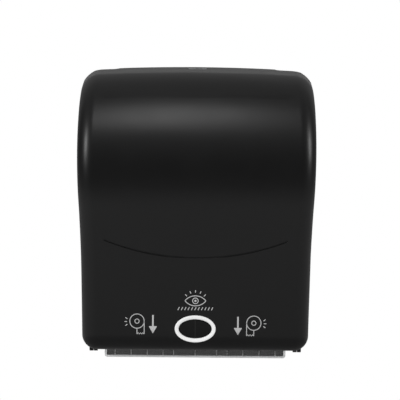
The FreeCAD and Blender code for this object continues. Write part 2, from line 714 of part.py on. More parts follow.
def make_front_cover(outer):
    """Thin drafted shell, open at the back and under the paper chute."""
    shell = outer.cut(inner_block(WALL)).common(
        slab(-COVER_DEPTH - BLOCK_OVERHANG, COVER_REAR))
    ear = hinge_eye(HINGE_EAR_START, HINGE_EAR_START + HINGE_LUG_WIDTH, FLOOR + WALL)
    lock_y = -LOCK_SETBACK
    under_top = top_at(lock_y) - WALL / 2
    collar = rod_z(LOCK_NUT_RADIUS, under_top - WALL - SEAT, under_top, 0, lock_y)
    pieces = [shell, collar]
    for piece in ear:
        pieces += both_sides(piece)
    cover = fused(pieces)
    opening = box(-HINGE_EAR_START, HINGE_EAR_START, COVER_REAR - BOTTOM_OPENING_DEPTH,
                  COVER_REAR + 1, FLOOR - 1, FLOOR + 2 * WALL)
    ear_bore = rod_x(HINGE_PIN_RADIUS + HINGE_FIT, HINGE_EAR_START - 1,
                     HINGE_EAR_START + HINGE_LUG_WIDTH + 1, HINGE_Y, HINGE_Z)
    band = OVAL_BAND - OVAL_SLEEVE + SEAT
    cutters = [
        opening,
        groove_cutter(),
        front_oval(OVAL_HALF_WIDTH - band, OVAL_HALF_HEIGHT - band, -2 * WALL, WALL),
        top_layer(-1, LOCK_POCKET_DEPTH, LOCK_POCKET_HALF_WIDTH, -LOCK_POCKET_FRONT,
                  COVER_REAR + 1, LOCK_POCKET_HALF_WIDTH / 2),
        rod_z(LOCK_RADIUS + HINGE_FIT, under_top - 3 * WALL, COVER_HEIGHT / 2, 0, lock_y),
    ] + both_sides(ear_bore)
    return cover.cut(Part.makeCompound(cutters))


# Sensor window in the cover
def make_sensor_bezel():
    """Oval ring on the front with a sleeve through the wall."""
    rim = front_oval(OVAL_HALF_WIDTH, OVAL_HALF_HEIGHT, FIXED_FIT, BEZEL_RISE)
    lip = on_front(OVAL_HEIGHT)[0].y - BEZEL_RISE * 0.75
    rim = rim.makeChamfer(BEZEL_CHAMFER, [e for e in rim.Edges if e.CenterOfMass.y < lip])
    band = OVAL_BAND - OVAL_SLEEVE + 2 * SEAT
    sleeve = front_oval(OVAL_HALF_WIDTH - band, OVAL_HALF_HEIGHT - band, -WALL, BEZEL_RISE / 2)
    bore = front_oval(OVAL_HALF_WIDTH - OVAL_BAND, OVAL_HALF_HEIGHT - OVAL_BAND,
                      -WALL - 1, BEZEL_RISE + 1)
    return fused([rim, sleeve]).cut(bore)


def make_sensor_window():
    """Dark lens held inside the ring."""
    margin = OVAL_BAND + HINGE_FIT
    front = BEZEL_RISE - WINDOW_RECESS
    return front_oval(OVAL_HALF_WIDTH - margin, OVAL_HALF_HEIGHT - margin,
                      front - WINDOW_THICKNESS, front)


# Lock in the top of the cover
def lock_bottom():
    return top_at(-LOCK_SETBACK) - LOCK_LENGTH


def make_lock_plate():
    half = LOCK_POCKET_HALF_WIDTH - LOCK_PLATE_MARGIN
    plate = top_layer(LOCK_POCKET_DEPTH - LOCK_PLATE_THICKNESS, LOCK_POCKET_DEPTH - FIXED_FIT,
                      half, -LOCK_POCKET_FRONT + LOCK_PLATE_MARGIN,
                      COVER_REAR - LOCK_PLATE_MARGIN, half / 2)
    bore = rod_z(LOCK_RADIUS + HINGE_FIT, 0, COVER_HEIGHT, 0, -LOCK_SETBACK)
    return plate.cut(bore)


def make_lock_barrel():
    lock_y = -LOCK_SETBACK
    top = top_at(lock_y - LOCK_RADIUS) - LOCK_POCKET_DEPTH / 2
    barrel = rod_z(LOCK_RADIUS, lock_bottom(), top, 0, lock_y)
    slot = box(-KEY_SLOT_LENGTH / 2, KEY_SLOT_LENGTH / 2, lock_y - KEY_SLOT_WIDTH / 2,
               lock_y + KEY_SLOT_WIDTH / 2, top - KEY_SLOT_DEPTH, top + 1)
    under_top = top_at(lock_y) - WALL / 2
    stop_top = under_top - WALL - 2 * SEAT
    stop = rod_z(LOCK_NUT_RADIUS, stop_top - LOCK_NUT_THICKNESS, stop_top, 0, lock_y)
    screw_hole = rod_z(CAM_SCREW_RADIUS + FIXED_FIT, lock_bottom() - 1,
                       lock_bottom() + SCREW_BITE + 1, 0, lock_y)
    return fused([barrel, stop]).cut(slot).cut(screw_hole)


def make_lock_cam():
    """Tongue under the barrel; it points to the wall while unlocked."""
    z1 = lock_bottom() - FIXED_FIT
    z0 = z1 - CAM_THICKNESS
    half = CAM_WIDTH / 2
    start = -LOCK_SETBACK
    tongue = plate_z(z0, z1, [(-half, start), (half, start), (half, start + CAM_LENGTH),
                              (-half, start + CAM_LENGTH)], (0, 0, 1.5, 1.5))
    boss = rod_z(LOCK_RADIUS, z0, z1, 0, start)
    hole = rod_z(CAM_SCREW_RADIUS + FIXED_FIT, z0 - 1, z1 + 1, 0, start)
    return fused([tongue, boss]).cut(hole)


def make_lock_cam_screw():
    z = lock_bottom() - CAM_THICKNESS - 2 * FIXED_FIT
    shank = rod_z(CAM_SCREW_RADIUS, z, lock_bottom() + SCREW_BITE, 0, -LOCK_SETBACK)
    head = rod_z(CAM_SCREW_HEAD_RADIUS, z - CAM_SCREW_HEAD_HEIGHT, z, 0, -LOCK_SETBACK)
    return fused([shank, head])


def strike_top():
    """Underside of the strike's arm, just above the cam."""
    return lock_bottom() + STRIKE_GAP


def strike_screw_place():
    return STRIKE_INNER + STRIKE_WIDTH / 2, strike_top() - STRIKE_FOOT / 2


def strike_boss():
    x, z = strike_screw_place()
    return rod_y(STRIKE_BOSS_RADIUS, -WALL / 2, -STRIKE_BOSS_REACH, x, z)


def make_lock_strike():
    """Bent steel hook: a foot on its boss, an arm forward and a lip turned down."""
    x0, x1 = STRIKE_INNER, STRIKE_INNER + STRIKE_WIDTH
    rear = -STRIKE_BOSS_REACH - FIXED_FIT
    lip = -LOCK_SETBACK - CAM_WIDTH / 2 - STRIKE_GAP
    top = strike_top()
    lip_bottom = lock_bottom() - CAM_THICKNESS - STRIKE_GAP
    profile = [(rear, top - STRIKE_FOOT), (rear, top + STRIKE_THICKNESS),
               (lip - STRIKE_THICKNESS, top + STRIKE_THICKNESS),
               (lip - STRIKE_THICKNESS, lip_bottom), (lip, lip_bottom), (lip, top),
               (rear - STRIKE_THICKNESS, top), (rear - STRIKE_THICKNESS, top - STRIKE_FOOT)]
    bend = STRIKE_THICKNESS * 1.2
    hook = plate_x(x0, x1, profile, (0, bend, bend, 0, 0, 0, 0, 0))
    x, z = strike_screw_place()
    hole = rod_y(SCREW_RADIUS + FIXED_FIT, rear + 1, rear - STRIKE_THICKNESS - 1, x, z)
    return hook.cut(hole)


def make_strike_screw():
    x, z = strike_screw_place()
    return screw_y(x, z, -STRIKE_BOSS_REACH - STRIKE_THICKNESS - FIXED_FIT)


def make_hinge_pins():
    """Headed pins through the housing's lugs and the cover's ears."""
    end = HINGE_EAR_START + HINGE_LUG_WIDTH
    shank = rod_x(HINGE_PIN_RADIUS, HINGE_LUG_START - SEAT, end, HINGE_Y, HINGE_Z)
    head = rod_x(HINGE_HEAD_RADIUS, HINGE_LUG_START - SEAT,
                 HINGE_LUG_START - SEAT - HINGE_HEAD_THICKNESS, HINGE_Y, HINGE_Z)
    return Part.makeCompound(both_sides(fused([shank, head])))


# Roll, core, web and arms
def make_towel_roll():
    half = ROLL_WIDTH / 2
    core = CORE_INNER_RADIUS + CORE_WALL + FIXED_FIT
    return ring_x(ROLL_RADIUS, core, -half, half, ROLL_Y, ROLL_Z)


def make_roll_core():
    half = ROLL_WIDTH / 2
    return ring_x(CORE_INNER_RADIUS + CORE_WALL, CORE_INNER_RADIUS, -half, half, ROLL_Y, ROLL_Z)


def make_paper_web():
    """The loose end of the towel, from the roll's front through the nip."""
    turn = (NIP_Y, FLOOR + WEB_TURN_HEIGHT)
    radius = ROLL_RADIUS + SEAT + WEB_THICKNESS / 2
    reach_y, reach_z = turn[0] - ROLL_Y, turn[1] - ROLL_Z
    distance = math.hypot(reach_y, reach_z)
    heading = math.atan2(reach_z, reach_y) - math.acos(radius / distance)
    leave = (ROLL_Y + radius * math.cos(heading), ROLL_Z + radius * math.sin(heading))
    slope = math.atan2(turn[1] - leave[1], turn[0] - leave[0])
    half = WEB_THICKNESS / 2
    ahead = (-math.sin(slope) * half, math.cos(slope) * half)
    corner = half * math.tan((slope + math.pi / 2) / 2)
    end = FLOOR - CHUTE_BOTTOM_DROP + SEAT
    outline = [(leave[0] + ahead[0], leave[1] + ahead[1]),
               (turn[0] + half, turn[1] + corner), (turn[0] + half, end),
               (turn[0] - half, end), (turn[0] - half, turn[1] - corner),
               (leave[0] - ahead[0], leave[1] - ahead[1])]
    return plate_x(-WEB_HALF_WIDTH, WEB_HALF_WIDTH, outline)


def make_roll_arm():
    """Right arm: a flat lever with a knuckle at the wall and a bearing at the hub."""
    outer = ARM_INNER + ARM_THICKNESS
    knuckle_top = ARM_KNUCKLE_HALF_HEIGHT - ARM_SPRING_HEIGHT
    lever = link_x(ARM_INNER, outer, (ROLL_Y, ROLL_Z), ARM_HUB_RADIUS,
                   (ARM_PIVOT_Y - ARM_KNUCKLE_RADIUS, ROLL_Z), knuckle_top - 1)
    neck = box(ARM_INNER, outer, ARM_PIVOT_Y - 2 * ARM_KNUCKLE_RADIUS, ARM_PIVOT_Y,
               ROLL_Z - knuckle_top + 1, ROLL_Z + knuckle_top - 1)
    knuckle = rod_z(ARM_KNUCKLE_RADIUS, ROLL_Z - ARM_KNUCKLE_HALF_HEIGHT,
                    ROLL_Z + knuckle_top, ARM_PIVOT_X, ARM_PIVOT_Y)
    spine = box(outer - 1, outer + ARM_RIB_DEPTH, ROLL_Y + ARM_HUB_RADIUS - 2,
                ARM_PIVOT_Y - ARM_KNUCKLE_RADIUS / 2, ROLL_Z - 1.5, ROLL_Z + 1.5)
    boss = rod_x(HUB_JOURNAL_RADIUS + 3, outer - 1, outer + ARM_RIB_DEPTH, ROLL_Y, ROLL_Z)
    arm = fused([lever, neck, knuckle, spine, boss])
    pin_bore = rod_z(ARM_PIN_RADIUS + RUNNING_FIT, ROLL_Z - 2 * ARM_KNUCKLE_HALF_HEIGHT,
                     ROLL_Z + 2 * ARM_KNUCKLE_HALF_HEIGHT, ARM_PIVOT_X, ARM_PIVOT_Y)
    bearing = rod_x(HUB_JOURNAL_RADIUS + RUNNING_FIT, ARM_INNER - 1, outer + ARM_RIB_DEPTH + 1,
                    ROLL_Y, ROLL_Z)
    return arm.cut(pin_bore).cut(bearing)


def make_roll_hub():
    """Right hub: flange, tapered spigot for the core and a journal with a snap cap."""
    face = ROLL_WIDTH / 2 + SEAT
    flange_end = face + HUB_FLANGE_THICKNESS
    flange = rod_x(HUB_FLANGE_RADIUS, face, flange_end, ROLL_Y, ROLL_Z)
    cone = Part.makeCone(CORE_INNER_RADIUS - SEAT, HUB_CONE_TIP_RADIUS, HUB_CONE_LENGTH,
                         Vec(face, ROLL_Y, ROLL_Z), Vec(-1, 0, 0))
    cap_start = ARM_INNER + ARM_THICKNESS + ARM_RIB_DEPTH + SEAT
    journal = rod_x(HUB_JOURNAL_RADIUS, flange_end, cap_start, ROLL_Y, ROLL_Z)
    cap = rod_x(HUB_CAP_RADIUS, cap_start, cap_start + HUB_CAP_THICKNESS, ROLL_Y, ROLL_Z)
    hollow = rod_x(HUB_BORE_RADIUS, face - HUB_CONE_LENGTH - 1, face, ROLL_Y, ROLL_Z)
    return fused([flange, cone, journal, cap]).cut(hollow)


def make_arm_pivot_pins():
    reach = ARM_KNUCKLE_HALF_HEIGHT + SEAT + BRACKET_THICKNESS
    pin = rod_z(ARM_PIN_RADIUS, ROLL_Z - reach, ROLL_Z + reach, ARM_PIVOT_X, ARM_PIVOT_Y)
    return Part.makeCompound(both_sides(pin))


def make_arm_springs():
    """Torsion springs on the pivot pins, above the knuckles."""
    z0 = ROLL_Z + ARM_KNUCKLE_HALF_HEIGHT - ARM_SPRING_HEIGHT + SEAT
    z1 = ROLL_Z + ARM_KNUCKLE_HALF_HEIGHT
    coil = rod_z(ARM_SPRING_RADIUS, z0, z1, ARM_PIVOT_X, ARM_PIVOT_Y)
    hole = rod_z(ARM_SPRING_RADIUS - ARM_SPRING_WIRE, z0, z1, ARM_PIVOT_X, ARM_PIVOT_Y)
    leg = box(ARM_PIVOT_X - SPRING_LEG_HALF, ARM_PIVOT_X + SPRING_LEG_HALF, -WALL - SEAT,
              ARM_PIVOT_Y + ARM_SPRING_RADIUS - SPRING_LEG_HALF, z0, z0 + ARM_SPRING_WIRE)
    return Part.makeCompound(both_sides(fused([coil, leg]).cut(hole)))


# Drive module
def make_drive_chassis():
    """Open frame: a rear wall and two cheeks that carry the rollers."""
    bottom, top = FLOOR + MODULE_BOTTOM_HEIGHT, FLOOR + MODULE_TOP_HEIGHT
    front, rear = -MODULE_FRONT + FASCIA_THICKNESS, -MODULE_REAR
    wall = box(-CHEEK_OUTER, CHEEK_OUTER, rear - CHASSIS_WALL, rear, bottom, top)
    cheek = plate_x(CHEEK_HALF_SPAN, CHEEK_OUTER,
                    [(rear, bottom), (rear, top), (front, top), (front, bottom)],
                    (0, 0, CHASSIS_CORNER, CHASSIS_CORNER))
    tie_front = DRIVE_Y + DRIVE_RADIUS + CHASSIS_TIE_GAP
    tie = box(-CHEEK_OUTER, CHEEK_OUTER, tie_front, rear - CHASSIS_WALL / 2,
              bottom, bottom + CHASSIS_WALL)
    frame = fused([wall, tie] + both_sides(cheek))
    bores = both_sides(rod_x(BUSH_RADIUS + FIXED_FIT, CHEEK_HALF_SPAN - 1, CHEEK_OUTER + 1,
                             DRIVE_Y, DRIVE_Z))
    bores += both_sides(rod_x(PINCH_PIN_RADIUS + FIXED_FIT, CHEEK_HALF_SPAN - 1,
                              CHEEK_OUTER + 1, -PINCH_PIVOT_SETBACK,
                              FLOOR + PINCH_PIVOT_HEIGHT))
    bores.append(rod_x(IDLER_AXLE_RADIUS + FIXED_FIT, CHEEK_HALF_SPAN - 1, CHEEK_OUTER + 1,
                       IDLER_Y, IDLER_Z))
    bores.append(rod_x(MOTOR_SHAFT_RADIUS * 2, CHEEK_HALF_SPAN - 1, CHEEK_OUTER + 1,
                       PINION_Y, PINION_Z))
    for y, z in motor_screw_places():
        bores.append(rod_x(SCREW_RADIUS + FIXED_FIT, CHEEK_HALF_SPAN - 1, CHEEK_OUTER + 1, y, z))
    for y, z in chute_screw_places() + fascia_screw_places():
        bores += both_sides(rod_x(SCREW_RADIUS + FIXED_FIT, CHEEK_HALF_SPAN - 1,
                                  CHEEK_OUTER + 1, y, z))
    for x, z in chassis_screw_places():
        bores.append(rod_y(SCREW_RADIUS + FIXED_FIT, rear + 1, rear - CHASSIS_WALL - 1, x, z))
    return frame.cut(Part.makeCompound(bores))


def make_chassis_screws():
    return Part.makeCompound([screw_y(x, z, -MODULE_REAR - CHASSIS_WALL)
                              for x, z in chassis_screw_places()])


def sleeve_places():
    last = WEB_HALF_WIDTH - SLEEVE_LENGTH / 2
    return [last * (2 * i / (SLEEVE_COUNT - 1) - 1) for i in range(SLEEVE_COUNT)]


def make_drive_shaft():
    start = -CHEEK_OUTER - BUSH_FLANGE_THICKNESS - CLIP_THICKNESS - SEAT
    return rod_x(DRIVE_SHAFT_RADIUS, start, GEAR_END_X + CLIP_THICKNESS + 2 * SEAT,
                 DRIVE_Y, DRIVE_Z)


def make_drive_sleeves():
    """Rubber sleeves with grip grooves, pressed on the shaft."""
    sleeves = []
    for middle in sleeve_places():
        x0, x1 = middle - SLEEVE_LENGTH / 2, middle + SLEEVE_LENGTH / 2
        sleeve = ring_x(DRIVE_RADIUS, DRIVE_SHAFT_RADIUS + FIXED_FIT, x0, x1, DRIVE_Y, DRIVE_Z)
        for i in range(SLEEVE_GROOVES):
            x = x0 + SLEEVE_LENGTH * (i + 1) / (SLEEVE_GROOVES + 1)
            sleeve = sleeve.cut(ring_x(DRIVE_RADIUS + 1, DRIVE_RADIUS - SLEEVE_GROOVE_DEPTH,
                                       x - SLEEVE_GROOVE_WIDTH / 2, x + SLEEVE_GROOVE_WIDTH / 2,
                                       DRIVE_Y, DRIVE_Z))
        sleeves.append(sleeve)
    return Part.makeCompound(sleeves)


def make_drive_bushes():
    """Flanged bearings in the cheeks."""
    sleeve = rod_x(BUSH_RADIUS, CHEEK_HALF_SPAN, CHEEK_OUTER + BUSH_FLANGE_THICKNESS,
                   DRIVE_Y, DRIVE_Z)
    flange = rod_x(BUSH_FLANGE_RADIUS, CHEEK_OUTER + FIXED_FIT,
                   CHEEK_OUTER + BUSH_FLANGE_THICKNESS, DRIVE_Y, DRIVE_Z)
    bore = rod_x(DRIVE_SHAFT_RADIUS + RUNNING_FIT, CHEEK_HALF_SPAN - 1, CHEEK_OUTER + 3,
                 DRIVE_Y, DRIVE_Z)
    return Part.makeCompound(both_sides(fused([sleeve, flange]).cut(bore)))


def make_pinch_shaft():
    end = pinch_arm_outer()
    return rod_x(PINCH_SHAFT_RADIUS, -end, end, PINCH_Y, DRIVE_Z)


def make_pinch_rollers():
    return Part.makeCompound([
        ring_x(PINCH_RADIUS, PINCH_SHAFT_RADIUS + FIXED_FIT, middle - SLEEVE_LENGTH / 2,
               middle + SLEEVE_LENGTH / 2, PINCH_Y, DRIVE_Z) for middle in sleeve_places()])


def pinch_arm_outer():
    return CHEEK_HALF_SPAN - PINCH_ARM_GAP


def make_pinch_arms():
    """Two swinging levers that press the pinch rollers on the web."""
    outer = pinch_arm_outer()
    inner = outer - PINCH_ARM_THICKNESS
    pivot = (-PINCH_PIVOT_SETBACK, FLOOR + PINCH_PIVOT_HEIGHT)
    lever = link_x(inner, outer, pivot, PINCH_ARM_RADIUS, (PINCH_Y, DRIVE_Z),
                   PINCH_ARM_RADIUS - 0.5)
    lever = lever.cut(rod_x(PINCH_PIN_RADIUS + RUNNING_FIT, inner - 1, outer + 1, *pivot))
    lever = lever.cut(rod_x(PINCH_SHAFT_RADIUS + RUNNING_FIT, inner - 1, outer + 1,
                            PINCH_Y, DRIVE_Z))
    return Part.makeCompound(both_sides(lever))


def make_pinch_pivot_pins():
    inner = pinch_arm_outer() - PINCH_ARM_THICKNESS - PINCH_SPRING_LENGTH
    place = (-PINCH_PIVOT_SETBACK, FLOOR + PINCH_PIVOT_HEIGHT)
    shank = rod_x(PINCH_PIN_RADIUS, inner, CHEEK_OUTER + SEAT, *place)
    head = rod_x(PINCH_PIN_RADIUS + 1.5, CHEEK_OUTER + SEAT, CHEEK_OUTER + SEAT + 1, *place)
    return Part.makeCompound(both_sides(fused([shank, head])))


def make_pinch_springs():
    """Torsion springs on the pivot pins, inside the levers."""
    outer = pinch_arm_outer() - PINCH_ARM_THICKNESS - SEAT
    inner = outer - PINCH_SPRING_LENGTH + 2 * SEAT
    coil = ring_x(PINCH_PIN_RADIUS + SEAT + PINCH_SPRING_WALL, PINCH_PIN_RADIUS + SEAT,
                  inner, outer, -PINCH_PIVOT_SETBACK, FLOOR + PINCH_PIVOT_HEIGHT)
    return Part.makeCompound(both_sides(coil))


# Gears
def involute(base, radius):
    """Angle that an involute has turned through at a radius."""
    if radius <= base:
        return 0.0
    return math.sqrt((radius / base) ** 2 - 1) - math.acos(base / radius)


def gear(teeth, x0, x1, y, z, bore, tooth_at):
    """Spur gear across X; one tooth points at the angle tooth_at, from +Y to +Z."""
    pitch = GEAR_MODULE * teeth / 2
    base = pitch * math.cos(math.radians(PRESSURE_ANGLE))
    tip = pitch + ADDENDUM * GEAR_MODULE
    root = pitch - DEDENDUM * GEAR_MODULE
    half_tooth = (math.pi * GEAR_MODULE / 2 - BACKLASH) / 2 / pitch
    flank_start = max(base, root)
    corners = []
    for i in range(teeth):
        middle = tooth_at + 2 * math.pi * i / teeth
        flank = []
        for share in (0.0, 0.5, 1.0):
            radius = flank_start + (tip - flank_start) * share
            half = half_tooth + involute(base, pitch) - involute(base, radius)
            flank.append((radius, half))
        side = [(root, flank[0][1])] * (root < base) + flank
        corners += [(radius, middle - half) for radius, half in side]
        corners += [(radius, middle + half) for radius, half in reversed(side)]
    points = [Vec(x0, y + radius * math.cos(angle), z + radius * math.sin(angle))
              for radius, angle in corners]
    blank = Part.Face(Part.makePolygon(points + points[:1])).extrude(Vec(x1 - x0, 0, 0))
    return blank.cut(rod_x(bore, x0 - 1, x1 + 1, y, z))


IDLER_ANGLE = math.radians(IDLER_DIRECTION)
PINION_ANGLE = math.radians(PINION_DIRECTION)


def meshing_angle(driver_angle, driver_teeth, teeth, direction):
    """Tooth angle of a gear that meshes with a driver lying behind it.

    direction is the angle from the driver's centre to this gear's centre.
    """
    phase = (driver_angle - direction) * driver_teeth / teeth
    return direction + math.pi - phase + math.pi / teeth


def idler_small_angle():
    return meshing_angle(IDLER_ANGLE, DRIVE_TEETH, IDLER_SMALL_TEETH, IDLER_ANGLE)


def pinion_tooth_angle():
    return meshing_angle(PINION_ANGLE, IDLER_LARGE_TEETH, PINION_TEETH, PINION_ANGLE)


def make_drive_gear():
    wheel = gear(DRIVE_TEETH, GEAR_OUTER_X, GEAR_END_X, DRIVE_Y, DRIVE_Z,
                 DRIVE_SHAFT_RADIUS + FIXED_FIT, IDLER_ANGLE)
    recess = ring_x(GEAR_WEB_RADIUS, GEAR_WEB_HUB_RADIUS, GEAR_END_X - GEAR_WEB_DEPTH,
                    GEAR_END_X + 1, DRIVE_Y, DRIVE_Z)
    return wheel.cut(recess)


def make_idler_gear():
    """Two steps on one hub: the motor drives the large one."""
    large = gear(IDLER_LARGE_TEETH, GEAR_INNER_X, GEAR_INNER_X + GEAR_WIDTH, IDLER_Y, IDLER_Z,
                 IDLER_AXLE_RADIUS + RUNNING_FIT, PINION_ANGLE)
    small = gear(IDLER_SMALL_TEETH, GEAR_INNER_X + GEAR_WIDTH, GEAR_END_X, IDLER_Y, IDLER_Z,
                 IDLER_AXLE_RADIUS + RUNNING_FIT, idler_small_angle())
    return fused([large, small])


def make_idler_axle():
    start = CHEEK_HALF_SPAN - SEAT
    shank = rod_x(IDLER_AXLE_RADIUS, start, GEAR_END_X + CLIP_THICKNESS + 2 * SEAT,
                  IDLER_Y, IDLER_Z)
    head = rod_x(IDLER_AXLE_RADIUS + AXLE_HEAD_RIM, start - AXLE_HEAD_THICKNESS, start,
                 IDLER_Y, IDLER_Z)
    collar = rod_x(IDLER_AXLE_RADIUS + AXLE_HEAD_RIM, CHEEK_OUTER + FIXED_FIT, GEAR_INNER_X - SEAT,
                   IDLER_Y, IDLER_Z)
    return fused([shank, head, collar])


def clip(shaft_radius, x, y, z):
    return ring_x(shaft_radius + CLIP_MARGIN, shaft_radius + FIXED_FIT, x,
                  x + CLIP_THICKNESS, y, z)


def make_shaft_clips():
    """Retaining rings at both ends of the drive shaft."""
    left = -CHEEK_OUTER - BUSH_FLANGE_THICKNESS - CLIP_THICKNESS - SEAT / 2
    return Part.makeCompound([clip(DRIVE_SHAFT_RADIUS, GEAR_END_X + SEAT, DRIVE_Y, DRIVE_Z),
                              clip(DRIVE_SHAFT_RADIUS, left, DRIVE_Y, DRIVE_Z)])


def make_axle_clip():
    return clip(IDLER_AXLE_RADIUS, GEAR_END_X + SEAT, IDLER_Y, IDLER_Z)


def motor_screw_places():
    return [(PINION_Y, PINION_Z + MOTOR_SCREW_OFFSET), (PINION_Y, PINION_Z - MOTOR_SCREW_OFFSET)]


def make_gear_motor():
    """Direct current motor with its small gearbox, inside the right cheek."""
    face = CHEEK_HALF_SPAN - FIXED_FIT
    box_end = face - GEARBOX_LENGTH
    gearbox = rod_x(GEARBOX_RADIUS, box_end, face, PINION_Y, PINION_Z)
    can = rod_x(MOTOR_RADIUS, box_end - MOTOR_LENGTH, box_end, PINION_Y, PINION_Z)
    flats = [box(box_end - MOTOR_LENGTH - 1, box_end, PINION_Y - MOTOR_RADIUS,
                 PINION_Y + MOTOR_RADIUS, PINION_Z + sign * (MOTOR_RADIUS - 2),
                 PINION_Z + sign * MOTOR_RADIUS * 2) for sign in (1, -1)]
    can = can.cut(Part.makeCompound(flats))
    tail = rod_x(MOTOR_SHAFT_RADIUS * 2, box_end - MOTOR_LENGTH - 3, box_end - MOTOR_LENGTH,
                 PINION_Y, PINION_Z)
    motor = fused([gearbox, can, tail])
    holes = [rod_x(SCREW_RADIUS + FIXED_FIT, face - SCREW_BITE - 1, face + 1, y, z)
             for y, z in motor_screw_places()]
    return motor.cut(Part.makeCompound(holes))


def make_motor_screws():
    return Part.makeCompound([screw_x(y, z, CHEEK_OUTER, CHEEK_THICKNESS + SCREW_BITE)
                              for y, z in motor_screw_places()])


def make_motor_pinion():
    """Steel pinion and the gearbox's output shaft."""
    wheel = gear(PINION_TEETH, GEAR_INNER_X, GEAR_INNER_X + GEAR_WIDTH, PINION_Y, PINION_Z,
                 MOTOR_SHAFT_RADIUS, pinion_tooth_angle())
    shaft = rod_x(MOTOR_SHAFT_RADIUS, CHEEK_HALF_SPAN + SEAT, GEAR_INNER_X + GEAR_WIDTH + 1,
                  PINION_Y, PINION_Z)
    return fused([wheel, shaft])


# Paper chute
def chute_screw_places():
    y = NIP_Y - CHUTE_GAP - CHUTE_THICKNESS - CHUTE_TAB_DEPTH / 2
    height = (CHUTE_TAB_BOTTOM_HEIGHT + CHUTE_TAB_TOP_HEIGHT) / 2
    rear_y = NIP_Y + CHUTE_GAP + CHUTE_THICKNESS + CHUTE_TAB_DEPTH / 2
    return [(y, FLOOR + height), (rear_y, FLOOR + height)]


def chute_half(web_side, top_height):
    """A guide plate beside the web with screw tabs at its ends.

    web_side is 1 for the rear plate and -1 for the front plate.
    """
    near = NIP_Y + web_side * CHUTE_GAP
    far = near + web_side * CHUTE_THICKNESS
    bottom = FLOOR - CHUTE_BOTTOM_DROP
    plate = box(-CHUTE_HALF_WIDTH, CHUTE_HALF_WIDTH, near, far, bottom, FLOOR + top_height)
    tab_end = CHEEK_HALF_SPAN - SEAT
    tab_inner = tab_end - 2 * CHEEK_THICKNESS
    tab = box(tab_inner, tab_end, near, far + web_side * CHUTE_TAB_DEPTH,
              FLOOR + CHUTE_TAB_BOTTOM_HEIGHT, FLOOR + CHUTE_TAB_TOP_HEIGHT)
    half = fused([plate] + both_sides(tab))
    place = chute_screw_places()[0 if web_side < 0 else 1]
    holes = both_sides(rod_x(SCREW_RADIUS + FIXED_FIT, CHEEK_HALF_SPAN - CHUTE_SCREW_BITE - 1,
                             CHEEK_HALF_SPAN + 1, *place))
    return half.cut(Part.makeCompound(holes))


def make_chute_rear():
    return chute_half(1, CHUTE_REAR_TOP_HEIGHT)


def blade_screw_places():
    return [(side * BLADE_SCREW_SPACING, FLOOR + BLADE_SCREW_HEIGHT) for side in (-1, 0, 1)]


def make_chute_front():
    plate = chute_half(-1, CHUTE_FRONT_TOP_HEIGHT)
    front = NIP_Y - CHUTE_GAP - CHUTE_THICKNESS
    holes = [rod_y(SCREW_RADIUS + FIXED_FIT, front - 1, front + CHUTE_THICKNESS - 0.3, x, z)
             for x, z in blade_screw_places()]
    return plate.cut(Part.makeCompound(holes))


def make_chute_screws():
    screws = []
    for y, z in chute_screw_places():
        screws += both_sides(screw_x(y, z, CHEEK_OUTER, CHEEK_THICKNESS + CHUTE_SCREW_BITE))
    return Part.makeCompound(screws)


def blade_front():
    return NIP_Y - CHUTE_GAP - CHUTE_THICKNESS - FIXED_FIT - BLADE_THICKNESS


def make_tear_blade():
    """Steel strip with a saw edge along the bottom."""
    count = int(2 * BLADE_HALF_WIDTH // BLADE_TOOTH_PITCH)
    pitch = 2 * BLADE_HALF_WIDTH / count
    tip, gullet = FLOOR - BLADE_DROP, FLOOR - BLADE_DROP + BLADE_TOOTH_DEPTH
    outline = [(BLADE_HALF_WIDTH, FLOOR + BLADE_TOP_HEIGHT),
               (-BLADE_HALF_WIDTH, FLOOR + BLADE_TOP_HEIGHT)]
    for i in range(count):
        x = -BLADE_HALF_WIDTH + i * pitch
        outline += [(x, gullet), (x + pitch / 2, tip)]
    outline.append((BLADE_HALF_WIDTH, gullet))
    strip = plate_y(blade_front(), blade_front() + BLADE_THICKNESS, outline)
    holes = [rod_y(SCREW_RADIUS + FIXED_FIT, blade_front() - 1,
                   blade_front() + BLADE_THICKNESS + 1, x, z) for x, z in blade_screw_places()]
    return strip.cut(Part.makeCompound(holes))


def make_blade_screws():
    depth = BLADE_THICKNESS + CHUTE_THICKNESS - 0.5
    return Part.makeCompound([screw_y(x, z, blade_front(), depth)
                              for x, z in blade_screw_places()])


def make_clear_guard():
    """Clear shield in front of the blade, with ribs and a flange to the chute."""
    front, rear = -GUARD_SETBACK, -GUARD_SETBACK + GUARD_THICKNESS
    bottom, top = FLOOR - BLADE_DROP, FLOOR + GUARD_TOP_HEIGHT
    outline = [(-GUARD_HALF_WIDTH, bottom), (GUARD_HALF_WIDTH, bottom),
               (GUARD_HALF_WIDTH, top), (-GUARD_HALF_WIDTH, top)]
    plate = plate_y(front, rear, outline, (GUARD_CORNER, GUARD_CORNER, 0, 0))
    chute_face = NIP_Y - CHUTE_GAP - CHUTE_THICKNESS
    tab_inner = CHEEK_HALF_SPAN - SEAT - 2 * CHEEK_THICKNESS
    flange_half = tab_inner - SEAT
    flange = box(-flange_half, flange_half, front, chute_face - SEAT, top - GUARD_THICKNESS, top)
    ribs = []
    for place in GUARD_RIB_PLACES:
        rib = box(place - GUARD_RIB_WIDTH / 2, place + GUARD_RIB_WIDTH / 2,
                  front - GUARD_RIB_DEPTH, front, bottom + GUARD_CORNER / 2, top)
        ribs += both_sides(rib) if place else [rib]
    notch = box(tab_inner - SEAT, GUARD_HALF_WIDTH + 1, front - 1, rear + 1,
                FLOOR + CHUTE_TAB_BOTTOM_HEIGHT - SEAT, top + 1)
    return fused([plate, flange] + ribs).cut(Part.makeCompound(both_sides(notch)))


